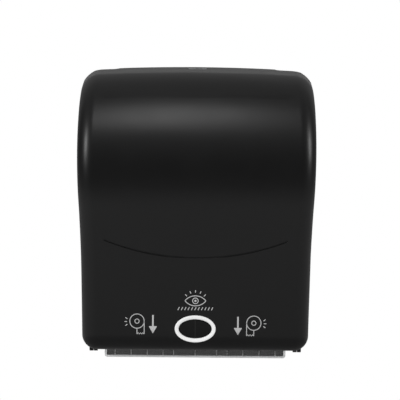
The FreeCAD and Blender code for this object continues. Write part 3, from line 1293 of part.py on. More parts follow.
# Batteries
def box_places():
    """Inner ends, rear, front, floor and top of the battery box."""
    half = CELL_COUNT * CELL_PITCH / 2 + CONTACT_THICKNESS + CONTACT_CLEARANCE
    rear = -WALL - SEAT - BOX_WALL
    front = rear - 2 * (CELL_RADIUS + BOX_SIDE_CLEARANCE)
    floor = FLOOR + BOX_BOTTOM_HEIGHT + BOX_WALL
    top = floor + SEAT + 2 * CELL_RADIUS + BOX_SIDE_CLEARANCE
    return half, rear, front, floor, top


def cell_axis():
    half, rear, front, floor, top = box_places()
    return (rear + front) / 2, floor + SEAT + CELL_RADIUS


def door_axis():
    half, rear, front, floor, top = box_places()
    return rear - DOOR_BARREL_RADIUS + BOX_WALL / 2, top + DOOR_BARREL_RADIUS


def make_battery_box():
    """Open trough for four cells with two hinge ears."""
    half, rear, front, floor, top = box_places()
    shell = box(-half - BOX_WALL, half + BOX_WALL, front - BOX_WALL, rear + BOX_WALL,
                floor - BOX_WALL, top)
    hollow = box(-half, half, front, rear, floor, top + 1)
    axis_y, axis_z = door_axis()
    ear_radius = DOOR_BARREL_RADIUS
    ear_end = DOOR_HALF_WIDTH + BOX_WALL
    ear = fused([rod_x(ear_radius, DOOR_HALF_WIDTH, ear_end, axis_y, axis_z),
                 box(DOOR_HALF_WIDTH, ear_end, axis_y - ear_radius, axis_y + ear_radius,
                     top - 1, axis_z)])
    trough = fused([shell.cut(hollow)] + both_sides(ear))
    saddles = []
    for i in range(1, CELL_COUNT):
        x = -half + 2 * half * i / CELL_COUNT
        low = box(x - BOX_WALL / 2, x + BOX_WALL / 2, front, rear, floor,
                  floor + BATTERY_RIB_HEIGHT)
        saddles.append(low.cut(rod_x(CELL_RADIUS + SEAT, x - 2, x + 2, *cell_axis())))
    trough = fused([trough] + saddles)
    bores = both_sides(rod_x(DOOR_PIN_RADIUS + RUNNING_FIT, DOOR_HALF_WIDTH - 1, ear_end + 1,
                             axis_y, axis_z))
    return trough.cut(Part.makeCompound(bores))


def make_battery_cells():
    y, z = cell_axis()
    cells = []
    for i in range(CELL_COUNT):
        x = (i - CELL_COUNT / 2) * CELL_PITCH + SEAT / 2
        can = rod_x(CELL_RADIUS, x, x + CELL_LENGTH, y, z)
        nub = rod_x(CELL_NUB_RADIUS, x + CELL_LENGTH, x + CELL_LENGTH + CELL_NUB_LENGTH, y, z)
        cells.append(fused([can, nub]))
    return Part.makeCompound(cells)


def make_battery_contacts():
    """Sprung end contacts, one at each end of the row."""
    half = box_places()[0]
    y, z = cell_axis()
    x1 = half - CONTACT_CLEARANCE / 2
    blade = box(x1 - CONTACT_THICKNESS, x1, y - CONTACT_HALF_WIDTH, y + CONTACT_HALF_WIDTH,
                z - CELL_RADIUS + 2, z + CELL_RADIUS - 2)
    return Part.makeCompound(both_sides(blade))


def make_battery_door():
    """Lid with a hinge barrel along its rear edge and a finger tab."""
    half, rear, front, floor, top = box_places()
    axis_y, axis_z = door_axis()
    lid_half = DOOR_HALF_WIDTH - DOOR_GAP
    barrel = rod_x(DOOR_BARREL_RADIUS, -lid_half, lid_half, axis_y, axis_z)
    lid = box(-lid_half, lid_half, front - BOX_WALL, axis_y, top + DOOR_GAP,
              top + DOOR_GAP + DOOR_THICKNESS)
    tab = box(-DOOR_TAB_HALF_WIDTH, DOOR_TAB_HALF_WIDTH, front - BOX_WALL, front - BOX_WALL
              + RIB_THICKNESS, top + DOOR_GAP, top + DOOR_GAP + DOOR_THICKNESS + DOOR_TAB_DEPTH)
    pins = both_sides(rod_x(DOOR_PIN_RADIUS, lid_half - 1, DOOR_HALF_WIDTH + BOX_WALL, axis_y,
                            axis_z))
    return fused([barrel, lid, tab] + pins)


# Fascia, controls, board and sensor
def make_module_fascia():
    """Front plate of the module with holes for the button and two slides."""
    bottom = FLOOR + MODULE_BOTTOM_HEIGHT + FASCIA_BOTTOM_GAP
    top = FLOOR + MODULE_TOP_HEIGHT
    rear, front = -MODULE_FRONT + FASCIA_THICKNESS - FIXED_FIT, -MODULE_FRONT
    outline = [(-CHEEK_OUTER, bottom), (CHEEK_OUTER, bottom), (CHEEK_OUTER, top),
               (-CHEEK_OUTER, top)]
    plate = plate_y(rear, front, outline, (FASCIA_CORNER,) * 4)
    post_inner = CHEEK_HALF_SPAN - SEAT - FASCIA_POST_WIDTH
    post_z = top - FASCIA_POST_DROP
    post = box(post_inner, CHEEK_HALF_SPAN - SEAT, rear - 1, rear + FASCIA_POST_REACH,
               post_z - FASCIA_POST_HALF_HEIGHT, post_z + FASCIA_POST_HALF_HEIGHT)
    lip = box(-BOARD_HALF_WIDTH, BOARD_HALF_WIDTH, rear - 1, -BOARD_SETBACK + BOARD_THICKNESS,
              FLOOR + BOARD_TOP_HEIGHT + SEAT, FLOOR + BOARD_TOP_HEIGHT + SEAT + FASCIA_TOP_LIP)
    board_posts = [rod_y(BOARD_POST_RADIUS, rear - 1, -BOARD_SETBACK - FIXED_FIT, x, post_height)
                   for x, post_height in board_screw_places()]
    fascia = fused([plate, lip] + board_posts + both_sides(post))
    z = FLOOR + CONTROL_HEIGHT
    cutters = [rod_y(BUTTON_RADIUS + HINGE_FIT, rear + 9, front - 1, BUTTON_X, z)]
    for x in SWITCH_PLACES:
        half = SWITCH_KNOB_WIDTH / 2 + SWITCH_SLOT_MARGIN
        cutters.append(box(x - half, x + SWITCH_TRAVEL + half, rear + 9, front - 1,
                           z - SWITCH_KNOB_HEIGHT / 2 - HINGE_FIT,
                           z + SWITCH_KNOB_HEIGHT / 2 + HINGE_FIT))
    for place_y, place_z in fascia_screw_places():
        cutters += both_sides(rod_x(SCREW_RADIUS + FIXED_FIT, post_inner - 1,
                                    CHEEK_HALF_SPAN + 1, place_y, place_z))
    for x, place_z in board_screw_places():
        cutters.append(rod_y(SCREW_RADIUS + FIXED_FIT, rear - 1, -BOARD_SETBACK + 1, x, place_z))
    return fascia.cut(Part.makeCompound(cutters))


def fascia_screw_places():
    return [(-MODULE_FRONT + FASCIA_THICKNESS + FASCIA_POST_REACH / 2,
             FLOOR + MODULE_TOP_HEIGHT - FASCIA_POST_DROP)]


def make_fascia_screws():
    y, z = fascia_screw_places()[0]
    return Part.makeCompound(both_sides(screw_x(y, z, CHEEK_OUTER, CHEEK_THICKNESS + 4)))


def make_feed_button():
    """Round key that is pressed towards the board."""
    z = FLOOR + CONTROL_HEIGHT
    front = -MODULE_FRONT - BUTTON_PROUD
    flange_front = -MODULE_FRONT + FASCIA_THICKNESS + SEAT
    cap = rod_y(BUTTON_RADIUS, front, flange_front + BUTTON_FLANGE_THICKNESS, BUTTON_X, z)
    edge = max(cap.Edges, key=lambda e: (e.Length, -e.CenterOfMass.y))
    cap = cap.makeFillet(1.0, [e for e in cap.Edges if abs(e.CenterOfMass.y - front) < 0.01
                               and abs(e.Length - edge.Length) < 0.01])
    flange = rod_y(BUTTON_FLANGE_RADIUS, flange_front, flange_front + BUTTON_FLANGE_THICKNESS,
                   BUTTON_X, z)
    stem_end = -BOARD_SETBACK - BUTTON_TRAVEL - SEAT
    return fused([cap, flange, rod_y(BUTTON_STEM_RADIUS, front + 2,
                                     max(stem_end, flange_front + BUTTON_FLANGE_THICKNESS),
                                     BUTTON_X, z)])


def make_switch(x):
    """Slide knob in its slot."""
    z = FLOOR + CONTROL_HEIGHT
    half_w, half_h = SWITCH_KNOB_WIDTH / 2, SWITCH_KNOB_HEIGHT / 2
    slide_front = -MODULE_FRONT + FASCIA_THICKNESS + SEAT
    knob = box(x - half_w, x + half_w, -MODULE_FRONT - SWITCH_KNOB_PROUD, slide_front + 1,
               z - half_h, z + half_h)
    ridges = [box(x + i * SWITCH_RIDGE_PITCH - SWITCH_RIDGE_HALF,
                  x + i * SWITCH_RIDGE_PITCH + SWITCH_RIDGE_HALF,
                  -MODULE_FRONT - SWITCH_KNOB_PROUD - 1,
                  -MODULE_FRONT - SWITCH_KNOB_PROUD + 0.5, z - half_h - 1, z + half_h + 1)
              for i in (-1, 0, 1)]
    margin = SWITCH_FLANGE_MARGIN
    base = box(x - half_w - margin, x + half_w + margin, slide_front,
               slide_front + SWITCH_FLANGE_THICKNESS, z - half_h - margin, z + half_h + margin)
    return fused([knob.cut(Part.makeCompound(ridges)), base])


def board_screw_places():
    x = BOARD_HALF_WIDTH - BOARD_POST_INSET
    low, high = BOARD_BOTTOM_HEIGHT + BOARD_POST_INSET, BOARD_TOP_HEIGHT - BOARD_POST_INSET
    return [(side * x, FLOOR + height) for side in (-1, 1) for height in (low, high)]


def make_circuit_board():
    front, rear = -BOARD_SETBACK, -BOARD_SETBACK + BOARD_THICKNESS
    bottom, top = FLOOR + BOARD_BOTTOM_HEIGHT, FLOOR + BOARD_TOP_HEIGHT
    board = box(-BOARD_HALF_WIDTH, BOARD_HALF_WIDTH, front, rear, bottom, top)
    holes = [rod_y(SCREW_RADIUS + FIXED_FIT, front - 1, rear + 1, x, z)
             for x, z in board_screw_places()]
    return board.cut(Part.makeCompound(holes))


def make_board_screws():
    """Screws driven forwards through the board into the fascia's posts."""
    rear = -BOARD_SETBACK + BOARD_THICKNESS + FIXED_FIT
    tip = -MODULE_FRONT + FASCIA_THICKNESS + SEAT
    screws = []
    for x, z in board_screw_places():
        screws.append(fused([rod_y(SCREW_RADIUS, tip, rear, x, z),
                             rod_y(SCREW_HEAD_RADIUS, rear, rear + SCREW_HEAD_HEIGHT, x, z)]))
    return Part.makeCompound(screws)


def make_board_components():
    """Chips, a relay, capacitors and a connector on the board's rear face."""
    rear = -BOARD_SETBACK + BOARD_THICKNESS + FIXED_FIT
    z = FLOOR + (BOARD_BOTTOM_HEIGHT + BOARD_TOP_HEIGHT) / 2
    chips = [box(x - width / 2, x + width / 2, rear, rear + depth, z - height / 2,
                 z + height / 2) for x, width, height, depth in BOARD_CHIPS]
    cans = [rod_y(CAPACITOR_RADIUS, rear, rear + CAPACITOR_LENGTH, x, z)
            for x in CAPACITOR_PLACES]
    return Part.makeCompound(chips + cans)


def make_sensor_housing():
    """Open fronted shroud behind the oval window, on the fascia."""
    rear = -MODULE_FRONT - SEAT
    front = -SENSOR_FRONT
    bottom, top = FLOOR + SENSOR_BOTTOM_HEIGHT, FLOOR + SENSOR_TOP_HEIGHT
    outline = [(-SENSOR_HALF_WIDTH, bottom), (SENSOR_HALF_WIDTH, bottom),
               (SENSOR_HALF_WIDTH, top), (-SENSOR_HALF_WIDTH, top)]
    shroud = plate_y(front, rear, outline, (SENSOR_CORNER,) * 4)
    inner = inset(outline, SENSOR_WALL, (1, 1, 1, 1))
    hollow = plate_y(front - 1, rear - SENSOR_WALL, inner, (SENSOR_CORNER - SENSOR_WALL,) * 4)
    divider = box(-SENSOR_WALL / 2, SENSOR_WALL / 2, front, rear - SENSOR_WALL / 2, bottom + 1,
                  top - 1)
    z = (bottom + top) / 2
    holes = [rod_y(LED_RADIUS + FIXED_FIT, rear + 1, rear - 2 * SENSOR_WALL, side * LED_OFFSET, z)
             for side in (-1, 1)]
    return fused([shroud.cut(hollow), divider]).cut(Part.makeCompound(holes))


def make_infrared_leds():
    """Round nosed emitter and receiver."""
    z = FLOOR + (SENSOR_BOTTOM_HEIGHT + SENSOR_TOP_HEIGHT) / 2
    rear = -MODULE_FRONT - 2 * SEAT
    leds = []
    for side in (-1, 1):
        x = side * LED_OFFSET
        body = rod_y(LED_RADIUS, rear, rear - LED_LENGTH, x, z)
        nose = Part.makeSphere(LED_RADIUS, Vec(x, rear - LED_LENGTH, z))
        leds.append(fused([body, nose]))
    return Part.makeCompound(leds)


def save(name, shape):
    shape.exportStep("parts/" + name + ".step")


def main():
    os.makedirs("parts", exist_ok=True)
    outer = outer_block()
    save("back_housing", make_back_housing(outer))
    save("front_cover", make_front_cover(outer))
    save("sensor_bezel", make_sensor_bezel())
    save("sensor_window", make_sensor_window())
    save("lock_plate", make_lock_plate())
    save("lock_barrel", make_lock_barrel())
    save("lock_cam", make_lock_cam())
    save("lock_cam_screw", make_lock_cam_screw())
    save("lock_strike", make_lock_strike())
    save("strike_screw", make_strike_screw())
    save("hinge_pins", make_hinge_pins())
    save("towel_roll", make_towel_roll())
    save("roll_core", make_roll_core())
    save("paper_web", make_paper_web())
    save("right_roll_arm", make_roll_arm())
    save("left_roll_arm", mirrored(make_roll_arm()))
    save("right_roll_hub", make_roll_hub())
    save("left_roll_hub", mirrored(make_roll_hub()))
    save("arm_pivot_pins", make_arm_pivot_pins())
    save("arm_springs", make_arm_springs())
    save("drive_chassis", make_drive_chassis())
    save("chassis_screws", make_chassis_screws())
    save("drive_shaft", make_drive_shaft())
    save("drive_sleeves", make_drive_sleeves())
    save("drive_bushes", make_drive_bushes())
    save("drive_gear", make_drive_gear())
    save("shaft_clips", make_shaft_clips())
    save("idler_gear", make_idler_gear())
    save("idler_axle", make_idler_axle())
    save("axle_clip", make_axle_clip())
    save("gear_motor", make_gear_motor())
    save("motor_pinion", make_motor_pinion())
    save("motor_screws", make_motor_screws())
    save("pinch_shaft", make_pinch_shaft())
    save("pinch_rollers", make_pinch_rollers())
    save("pinch_arms", make_pinch_arms())
    save("pinch_pivot_pins", make_pinch_pivot_pins())
    save("pinch_springs", make_pinch_springs())
    save("chute_rear", make_chute_rear())
    save("chute_front", make_chute_front())
    save("chute_screws", make_chute_screws())
    save("tear_blade", make_tear_blade())
    save("blade_screws", make_blade_screws())
    save("clear_guard", make_clear_guard())
    save("battery_box", make_battery_box())
    save("battery_cells", make_battery_cells())
    save("battery_contacts", make_battery_contacts())
    save("battery_door", make_battery_door())
    save("module_fascia", make_module_fascia())
    save("fascia_screws", make_fascia_screws())
    save("feed_button", make_feed_button())
    save("length_switch", make_switch(SWITCH_PLACES[0]))
    save("delay_switch", make_switch(SWITCH_PLACES[1]))
    save("circuit_board", make_circuit_board())
    save("board_screws", make_board_screws())
    save("board_components", make_board_components())
    save("sensor_housing", make_sensor_housing())
    save("infrared_leds", make_infrared_leds())


main()
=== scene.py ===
"""Automatic roll towel dispenser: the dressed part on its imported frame.

Sizes are in millimetres here and turn into metres where a mesh is made.
"""
import json
import math

import bmesh
import bpy
import numpy as np
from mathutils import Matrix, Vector
from mathutils.bvhtree import BVHTree


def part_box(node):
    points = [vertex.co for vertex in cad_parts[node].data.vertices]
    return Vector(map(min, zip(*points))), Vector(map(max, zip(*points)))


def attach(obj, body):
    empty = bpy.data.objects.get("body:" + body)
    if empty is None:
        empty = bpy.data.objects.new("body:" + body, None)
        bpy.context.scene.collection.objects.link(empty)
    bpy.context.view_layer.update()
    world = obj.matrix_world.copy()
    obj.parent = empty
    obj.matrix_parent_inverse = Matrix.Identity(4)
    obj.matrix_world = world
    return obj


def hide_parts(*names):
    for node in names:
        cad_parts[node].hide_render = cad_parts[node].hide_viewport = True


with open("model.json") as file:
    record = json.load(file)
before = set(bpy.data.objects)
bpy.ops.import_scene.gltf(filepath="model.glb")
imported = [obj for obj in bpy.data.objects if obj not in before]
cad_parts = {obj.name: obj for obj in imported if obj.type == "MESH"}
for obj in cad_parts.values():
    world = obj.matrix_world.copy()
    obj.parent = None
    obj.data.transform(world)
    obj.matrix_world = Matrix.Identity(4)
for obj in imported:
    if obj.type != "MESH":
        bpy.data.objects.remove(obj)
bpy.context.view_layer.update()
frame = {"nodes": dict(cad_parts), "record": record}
NODES = frame["nodes"]
MM = 0.001

# Cabinet form, as in the part's source
FLOOR_Z = -174.0
TOP_Z = 174.0
TOP_SLOPE = math.radians(6.0)
LEAN = math.radians(8.0)
DRAFT = math.radians(2.0)
ARC_R = 148.0
ARC_Y = ARC_R - 232.0
ARC_Z = TOP_Z + ARC_Y * math.tan(TOP_SLOPE) - ARC_R / math.cos(TOP_SLOPE)
FOOT_Y = ARC_Y - ARC_R / math.cos(LEAN) + (ARC_Z - FLOOR_Z) * math.tan(LEAN)
EDGE_R = 18.0
WALL = 3.0
CROWN_CURVE = 4600.0
FRONT_BOW = 16000.0
COVER_REAR = -15.0
GROOVE_X = 109.7
GROOVE_LOW = FLOOR_Z + 111.3
GROOVE_RISE = 20.5
GROOVE_R = (GROOVE_X ** 2 + GROOVE_RISE ** 2) / (2 * GROOVE_RISE)
BOX_X, BOX_Y = 150.0, -230.0

# Sensor ring: height, half width, half height and width of the band
OVAL_Z = FLOOR_Z + 26.4
OVAL_A, OVAL_B = 24.5, 16.3
BAND = 4.8

# Hinge ears and lock of the cover
HINGE_Y, HINGE_Z = -24.0, -178.0
PIN_BORE_R = 2.1
EAR_X, EAR_WIDTH = 127.6, 4.8
LOCK_Y, LOCK_BORE_R = -27.0, 6.1

# Guard under the outlet, roll and web
GUARD_Y = -150.0
GUARD_X = 109.6
GUARD_TOP = -159.0
GUARD_LOW = -184.8
RIM = 2.7
ROLL_Y, ROLL_Z = -112.0, 40.0
ROLL_R, BORE_R = 87.95, 21.08
ROLL_HALF = 100.0
WEB_HALF, WEB_THICK = 98.8, 0.3
NIP_Y, TURN_Z, WEB_END = -140.45, -105.0, -182.6
CELL_LENGTH = 61.45

# Stage: the floor's place and colours, and the levels of the world
STAGE_REACH, STAGE_NEAR, STAGE_FAR, STAGE_LEVEL = 5000, -5000, 3000, -450
# In the gloss the floor's colour is painted shade: darker than the floor, and darkest near the part
# as a painted shadow
FLOOR_COLOR, FLOOR_PAINTED_SHADE_NEAR, FLOOR_PAINTED_SHADE_FAR = 0.8, 0.20, 0.50
SWEEP_LEVEL = 0.36
ROOM_LEVEL = 0.09
CEILING_LEVEL = 0.20
REAR_LEVEL = 0.21
DIFFUSE_LEVEL = 0.94


# Mesh helpers
def smooth(low, high, value):
    """Eases from 0 at low to 1 at high."""
    t = np.clip((value - low) / (high - low), 0.0, 1.0)
    return t * t * (3 - 2 * t)


def make_object(name, verts, faces, soft_angle=None):
    """An object from millimetre points; smooth shaded below an angle in degrees."""
    mesh = bpy.data.meshes.new(name)
    mesh.from_pydata([tuple(float(c) * MM for c in v) for v in verts], [], faces)
    mesh.validate()
    obj = bpy.data.objects.new(name, mesh)
    bpy.context.scene.collection.objects.link(obj)
    if soft_angle is not None:
        shade(obj, soft_angle)
    return obj


def shade(obj, angle):
    """Smooth shading; edges sharper than an angle in degrees stay hard."""
    mesh = obj.data
    mesh.polygons.foreach_set("use_smooth", [True] * len(mesh.polygons))
    bm = bmesh.new()
    bm.from_mesh(mesh)
    limit = math.radians(angle)
    for edge in bm.edges:
        edge.smooth = len(edge.link_faces) != 2 or edge.calc_face_angle(0.0) < limit
    bm.to_mesh(mesh)
    bm.free()


def weld(bm):
    bmesh.ops.remove_doubles(bm, verts=bm.verts, dist=2e-6)


def rework(obj, *steps):
    """Runs steps on a mesh and turns its faces outward."""
    bm = bmesh.new()
    bm.from_mesh(obj.data)
    for step in steps:
        step(bm)
    bmesh.ops.recalc_face_normals(bm, faces=bm.faces)
    bm.to_mesh(obj.data)
    bm.free()


def dress(obj, material, body, nodes=()):
    """Gives a piece its material, its body and the nodes it stands for."""
    obj.data.materials.clear()
    obj.data.materials.append(material)
    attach(obj, body)
    if nodes:
        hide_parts(*nodes)
    return obj


def merge(parts):
    """One list of points and faces from several."""
    verts, faces = [], []
    for points, polys in parts:
        start = len(verts)
        verts += [tuple(p) for p in points]
        faces += [tuple(i + start for i in poly) for poly in polys]
    return verts, faces


def beside(axis, centre, along, a, b):
    """A point beside a line along x or z."""
    return ((along, centre[0] + a, centre[1] + b) if axis == "x"
            else (centre[0] + a, centre[1] + b, along))


def tube_between(rings, closed=False, caps=True):
    """Skin over rings of equal length."""
    count = len(rings[0])
    verts = [p for ring in rings for p in ring]
    faces = []
    last = len(rings) if closed else len(rings) - 1
    for i in range(last):
        a, b = i * count, ((i + 1) % len(rings)) * count
        for j in range(count):
            k = (j + 1) % count
            faces.append((a + j, a + k, b + k, b + j))
    if caps and not closed:
        faces.append(tuple(reversed(range(count))))
        faces.append(tuple(range((len(rings) - 1) * count, len(rings) * count)))
    return verts, faces


# Materials
def principled(name, color, rough=0.5, **sockets):
    material = bpy.data.materials.new(name)
    material.use_nodes = True
    shader = material.node_tree.nodes["Principled BSDF"]
    shader.inputs["Base Color"].default_value = (*color, 1.0)
    shader.inputs["Roughness"].default_value = rough
    for key, value in sockets.items():
        shader.inputs[key.replace("_", " ")].default_value = value
    return material, material.node_tree, shader


def link(tree, a, out, b, inp):
    """Links an output of one node to an input of another."""
    tree.links.new(a.outputs[out], b.inputs[inp])


def grain(name, color, rough, scale, depth, rough_spread=0.06, tone=0.12, stretch=(1, 1, 1),
          **sockets):
    """A material with fine surface grain, slow tone drift and uneven gloss."""
    material, tree, shader = principled(name, color, rough, **sockets)
    nodes = tree.nodes
    coords = nodes.new("ShaderNodeTexCoord")
    mapping = nodes.new("ShaderNodeMapping")
    mapping.inputs["Scale"].default_value = stretch
    link(tree, coords, "Object", mapping, "Vector")
    fine = nodes.new("ShaderNodeTexNoise")
    fine.inputs["Scale"].default_value = scale
    fine.inputs["Detail"].default_value = 4.0
    link(tree, mapping, "Vector", fine, "Vector")
    bump = nodes.new("ShaderNodeBump")
    bump.inputs["Strength"].default_value = 1.0
    bump.inputs["Distance"].default_value = depth * MM
    link(tree, fine, "Fac", bump, "Height")
    link(tree, bump, "Normal", shader, "Normal")
    broad = nodes.new("ShaderNodeTexNoise")
    broad.inputs["Scale"].default_value = max(scale * 0.02, 6.0)
    broad.inputs["Detail"].default_value = 2.0
    link(tree, mapping, "Vector", broad, "Vector")
    spread = nodes.new("ShaderNodeMapRange")
    spread.inputs["To Min"].default_value = max(rough - rough_spread, 0.02)
    spread.inputs["To Max"].default_value = min(rough + rough_spread, 1.0)
    link(tree, broad, "Fac", spread, "Value")
    link(tree, spread, "Result", shader, "Roughness")
    ramp = nodes.new("ShaderNodeValToRGB")
    ramp.color_ramp.elements[0].position = 0.3
    ramp.color_ramp.elements[1].position = 0.7
    ramp.color_ramp.elements[0].color = (*[c * (1 - tone) for c in color], 1)
    ramp.color_ramp.elements[1].color = (*[min(c * (1 + tone), 1) for c in color], 1)
    link(tree, fine if scale < 400 else broad, "Fac", ramp, "Fac")
    link(tree, ramp, "Color", shader, "Base Color")
    return material


MATERIALS = {
    "cabinet_black": grain("satin_black", (0.0032, 0.0032, 0.0034), 0.36, 1400, 0.010, 0.03,
                           0.08, Specular_IOR_Level=0.5),
    "window_smoke": grain("smoked_window", (0.003, 0.003, 0.003), 0.34, 300, 0.002, 0.05,
                          Specular_IOR_Level=0.36),
    "bezel_white": grain("white_gloss", (0.93, 0.93, 0.93), 0.28, 500, 0.002, 0.04, 0.02),
    "steel": grain("zinc_steel", (0.56, 0.57, 0.58), 0.36, 900, 0.006, 0.1, 0.1, Metallic=1.0),
    "bright_steel": grain("nickel", (0.72, 0.71, 0.68), 0.18, 700, 0.002, 0.06, 0.05,
                          Metallic=1.0),
    "brass": grain("sintered_brass", (0.70, 0.50, 0.22), 0.38, 1200, 0.008, 0.08, 0.12,
                   Metallic=1.0),
    "module_grey": grain("module_plastic", (0.035, 0.036, 0.038), 0.55, 1100, 0.014, 0.06,
                         0.1),
    "fascia_grey": grain("fascia_plastic", (0.22, 0.23, 0.245), 0.5, 1100, 0.012, 0.06, 0.06),
    "gear_white": grain("gear_plastic", (0.80, 0.78, 0.70), 0.38, 600, 0.004, 0.05, 0.04,
                        Subsurface_Weight=0.08, Subsurface_Scale=0.002),
    "arm_grey": grain("arm_plastic", (0.085, 0.085, 0.09), 0.5, 1100, 0.012, 0.06, 0.08),
    "hub_blue": grain("hub_plastic", (0.05, 0.16, 0.36), 0.42, 900, 0.008, 0.05, 0.08),
    "rubber_black": grain("rubber", (0.018, 0.018, 0.018), 0.78, 1600, 0.03, 0.08, 0.2),
    "cardboard_brown": grain("core_board", (0.46, 0.33, 0.20), 0.85, 320, 0.05, 0.08, 0.12,
                             (0.25, 1, 1)),
    "battery_tray": grain("tray_plastic", (0.045, 0.045, 0.05), 0.5, 1100, 0.012, 0.06, 0.08),
    "board_green": grain("board_mask", (0.012, 0.12, 0.05), 0.32, 500, 0.004, 0.06, 0.12),
    "component_black": grain("component_case", (0.03, 0.03, 0.032), 0.42, 900, 0.005),
    "button_orange": grain("orange_key", (0.75, 0.20, 0.02), 0.3, 800, 0.004, 0.05, 0.05),
    "led_dark": grain("dark_lens", (0.035, 0.010, 0.03), 0.12, 400, 0.001, 0.03, 0.1),
}


def clear_plastic():
    """Clear moulding with faint flow marks."""
    material, tree, shader = principled("clear_plastic", (0.93, 0.95, 0.95), 0.08,
                                        Transmission_Weight=1.0, IOR=1.49)
    nodes = tree.nodes
    coords = nodes.new("ShaderNodeTexCoord")
    noise = nodes.new("ShaderNodeTexNoise")
    noise.inputs["Scale"].default_value = 90.0
    link(tree, coords, "Object", noise, "Vector")
    bump = nodes.new("ShaderNodeBump")
    bump.inputs["Distance"].default_value = 0.02 * MM
    link(tree, noise, "Fac", bump, "Height")
    link(tree, bump, "Normal", shader, "Normal")
    return material


def paper():
    """Soft white towel with a fine embossed dot pattern and fibres."""
    material, tree, shader = principled("towel_paper", (0.84, 0.83, 0.79), 0.9,
                                        Sheen_Weight=0.15, Subsurface_Weight=0.1,
                                        Subsurface_Scale=0.003)
    nodes = tree.nodes
    coords = nodes.new("ShaderNodeTexCoord")
    fibre = nodes.new("ShaderNodeTexNoise")
    fibre.inputs["Scale"].default_value = 700.0
    fibre.inputs["Detail"].default_value = 6.0
    dots = nodes.new("ShaderNodeTexVoronoi")
    dots.inputs["Scale"].default_value = 330.0
    dots.inputs["Randomness"].default_value = 0.15
    mix = nodes.new("ShaderNodeMath")
    mix.operation = "MULTIPLY_ADD"
    mix.inputs[1].default_value = 0.6
    bump = nodes.new("ShaderNodeBump")
    bump.inputs["Distance"].default_value = 0.12 * MM
    tone = nodes.new("ShaderNodeValToRGB")
    tone.color_ramp.elements[0].color = (0.76, 0.75, 0.70, 1)
    tone.color_ramp.elements[1].color = (0.88, 0.87, 0.84, 1)
    link(tree, coords, "Object", fibre, "Vector")
    link(tree, coords, "Object", dots, "Vector")
    link(tree, dots, "Distance", mix, 0)
    link(tree, fibre, "Fac", mix, 2)
    link(tree, mix, "Value", bump, "Height")
    link(tree, bump, "Normal", shader, "Normal")
    link(tree, fibre, "Fac", tone, "Fac")
    link(tree, tone, "Color", shader, "Base Color")
    return material


def cell_wrap():
    """Printed jacket of a plain cell: dark body with a copper band at the plus end."""
    material, tree, shader = principled("cell_wrap", (0.03, 0.03, 0.035), 0.32)
    nodes = tree.nodes
    coords = nodes.new("ShaderNodeTexCoord")
    split = nodes.new("ShaderNodeSeparateXYZ")
    shift = nodes.new("ShaderNodeMath")
    shift.operation = "ADD"
    shift.inputs[1].default_value = 2 * CELL_LENGTH * MM
    cycle = nodes.new("ShaderNodeMath")
    cycle.operation = "MODULO"
    cycle.inputs[1].default_value = CELL_LENGTH * MM
    ramp = nodes.new("ShaderNodeValToRGB")
    ramp.color_ramp.interpolation = "CONSTANT"
    ramp.color_ramp.elements[0].color = (0.030, 0.030, 0.034, 1)
    ramp.color_ramp.elements[1].position = 0.044
    ramp.color_ramp.elements[1].color = (0.62, 0.36, 0.14, 1)
    end = ramp.color_ramp.elements.new(0.0585)
    end.color = (0.60, 0.60, 0.60, 1)
    noise = nodes.new("ShaderNodeTexNoise")
    noise.inputs["Scale"].default_value = 500.0
    bump = nodes.new("ShaderNodeBump")
    bump.inputs["Distance"].default_value = 0.004 * MM
    link(tree, coords, "Object", split, "Vector")
    link(tree, split, "X", shift, 0)
    link(tree, shift, "Value", cycle, 0)
    link(tree, cycle, "Value", ramp, "Fac")
    link(tree, ramp, "Color", shader, "Base Color")
    link(tree, coords, "Object", noise, "Vector")
    link(tree, noise, "Fac", bump, "Height")
    link(tree, bump, "Normal", shader, "Normal")
    return material


def wound(material):
    """Adds the edges of the wound layers on the ends of the roll."""
    tree = material.node_tree
    nodes = tree.nodes
    coords = nodes.new("ShaderNodeTexCoord")
    mapping = nodes.new("ShaderNodeMapping")
    mapping.inputs["Location"].default_value = (0, -ROLL_Y * MM, -ROLL_Z * MM)
    rings = nodes.new("ShaderNodeTexWave")
    rings.wave_type = "RINGS"
    rings.rings_direction = "X"
    rings.inputs["Scale"].default_value = 420.0
    rings.inputs["Distortion"].default_value = 1.5
    rings.inputs["Detail"].default_value = 2.0
    bump = nodes.new("ShaderNodeBump")
    bump.inputs["Distance"].default_value = 0.18 * MM
    first = next(n for n in nodes if n.type == "BUMP" and n != bump)
    shader = next(n for n in nodes if n.type == "BSDF_PRINCIPLED")
    link(tree, coords, "Object", mapping, "Vector")
    link(tree, mapping, "Vector", rings, "Vector")
    link(tree, rings, "Fac", bump, "Height")
    link(tree, first, "Normal", bump, "Normal")
    link(tree, bump, "Normal", shader, "Normal")
    return material


MATERIALS["clear_plastic"] = clear_plastic()
MATERIALS["paper_white"] = paper()
MATERIALS["paper_roll"] = wound(paper())
# Dark tint of the clear guard's panes: painted shade over the blade, which lies in the cover's
# shade
MATERIALS["guard_smoke"] = grain("shade_tinted_guard", (0.20, 0.20, 0.20), 0.16, 260, 0.004, 0.04,
                                 0.06, Transmission_Weight=0.7, IOR=1.49)
# Pale colour of the clear guard's rim and ribs: painted light, the brightness clear edges catch
# when seen edge-on
MATERIALS["guard_edge"] = grain("pale_edge_painted_light", (0.92, 0.93, 0.93), 0.30, 600, 0.006, 0.06,
                                0.06, Transmission_Weight=0.7, IOR=1.45)
MATERIALS["battery_can"] = cell_wrap()
# Paler than the smoked lens: painted sheen along the raised mould line
MATERIALS["lens_seam_painted_sheen"] = grain("lens_seam_painted_sheen", (0.010, 0.010, 0.009), 0.34, 300, 0.002, 0.04)
MATERIALS["print"] = grain("pale_print", (0.52, 0.52, 0.52), 0.55, 900, 0.004, 0.05, 0.08)

for part in frame["record"]["subparts"]:
    node = NODES[part["node"]]
    for material_slot in node.material_slots:
        material_slot.material = MATERIALS[part["material_slot"]]


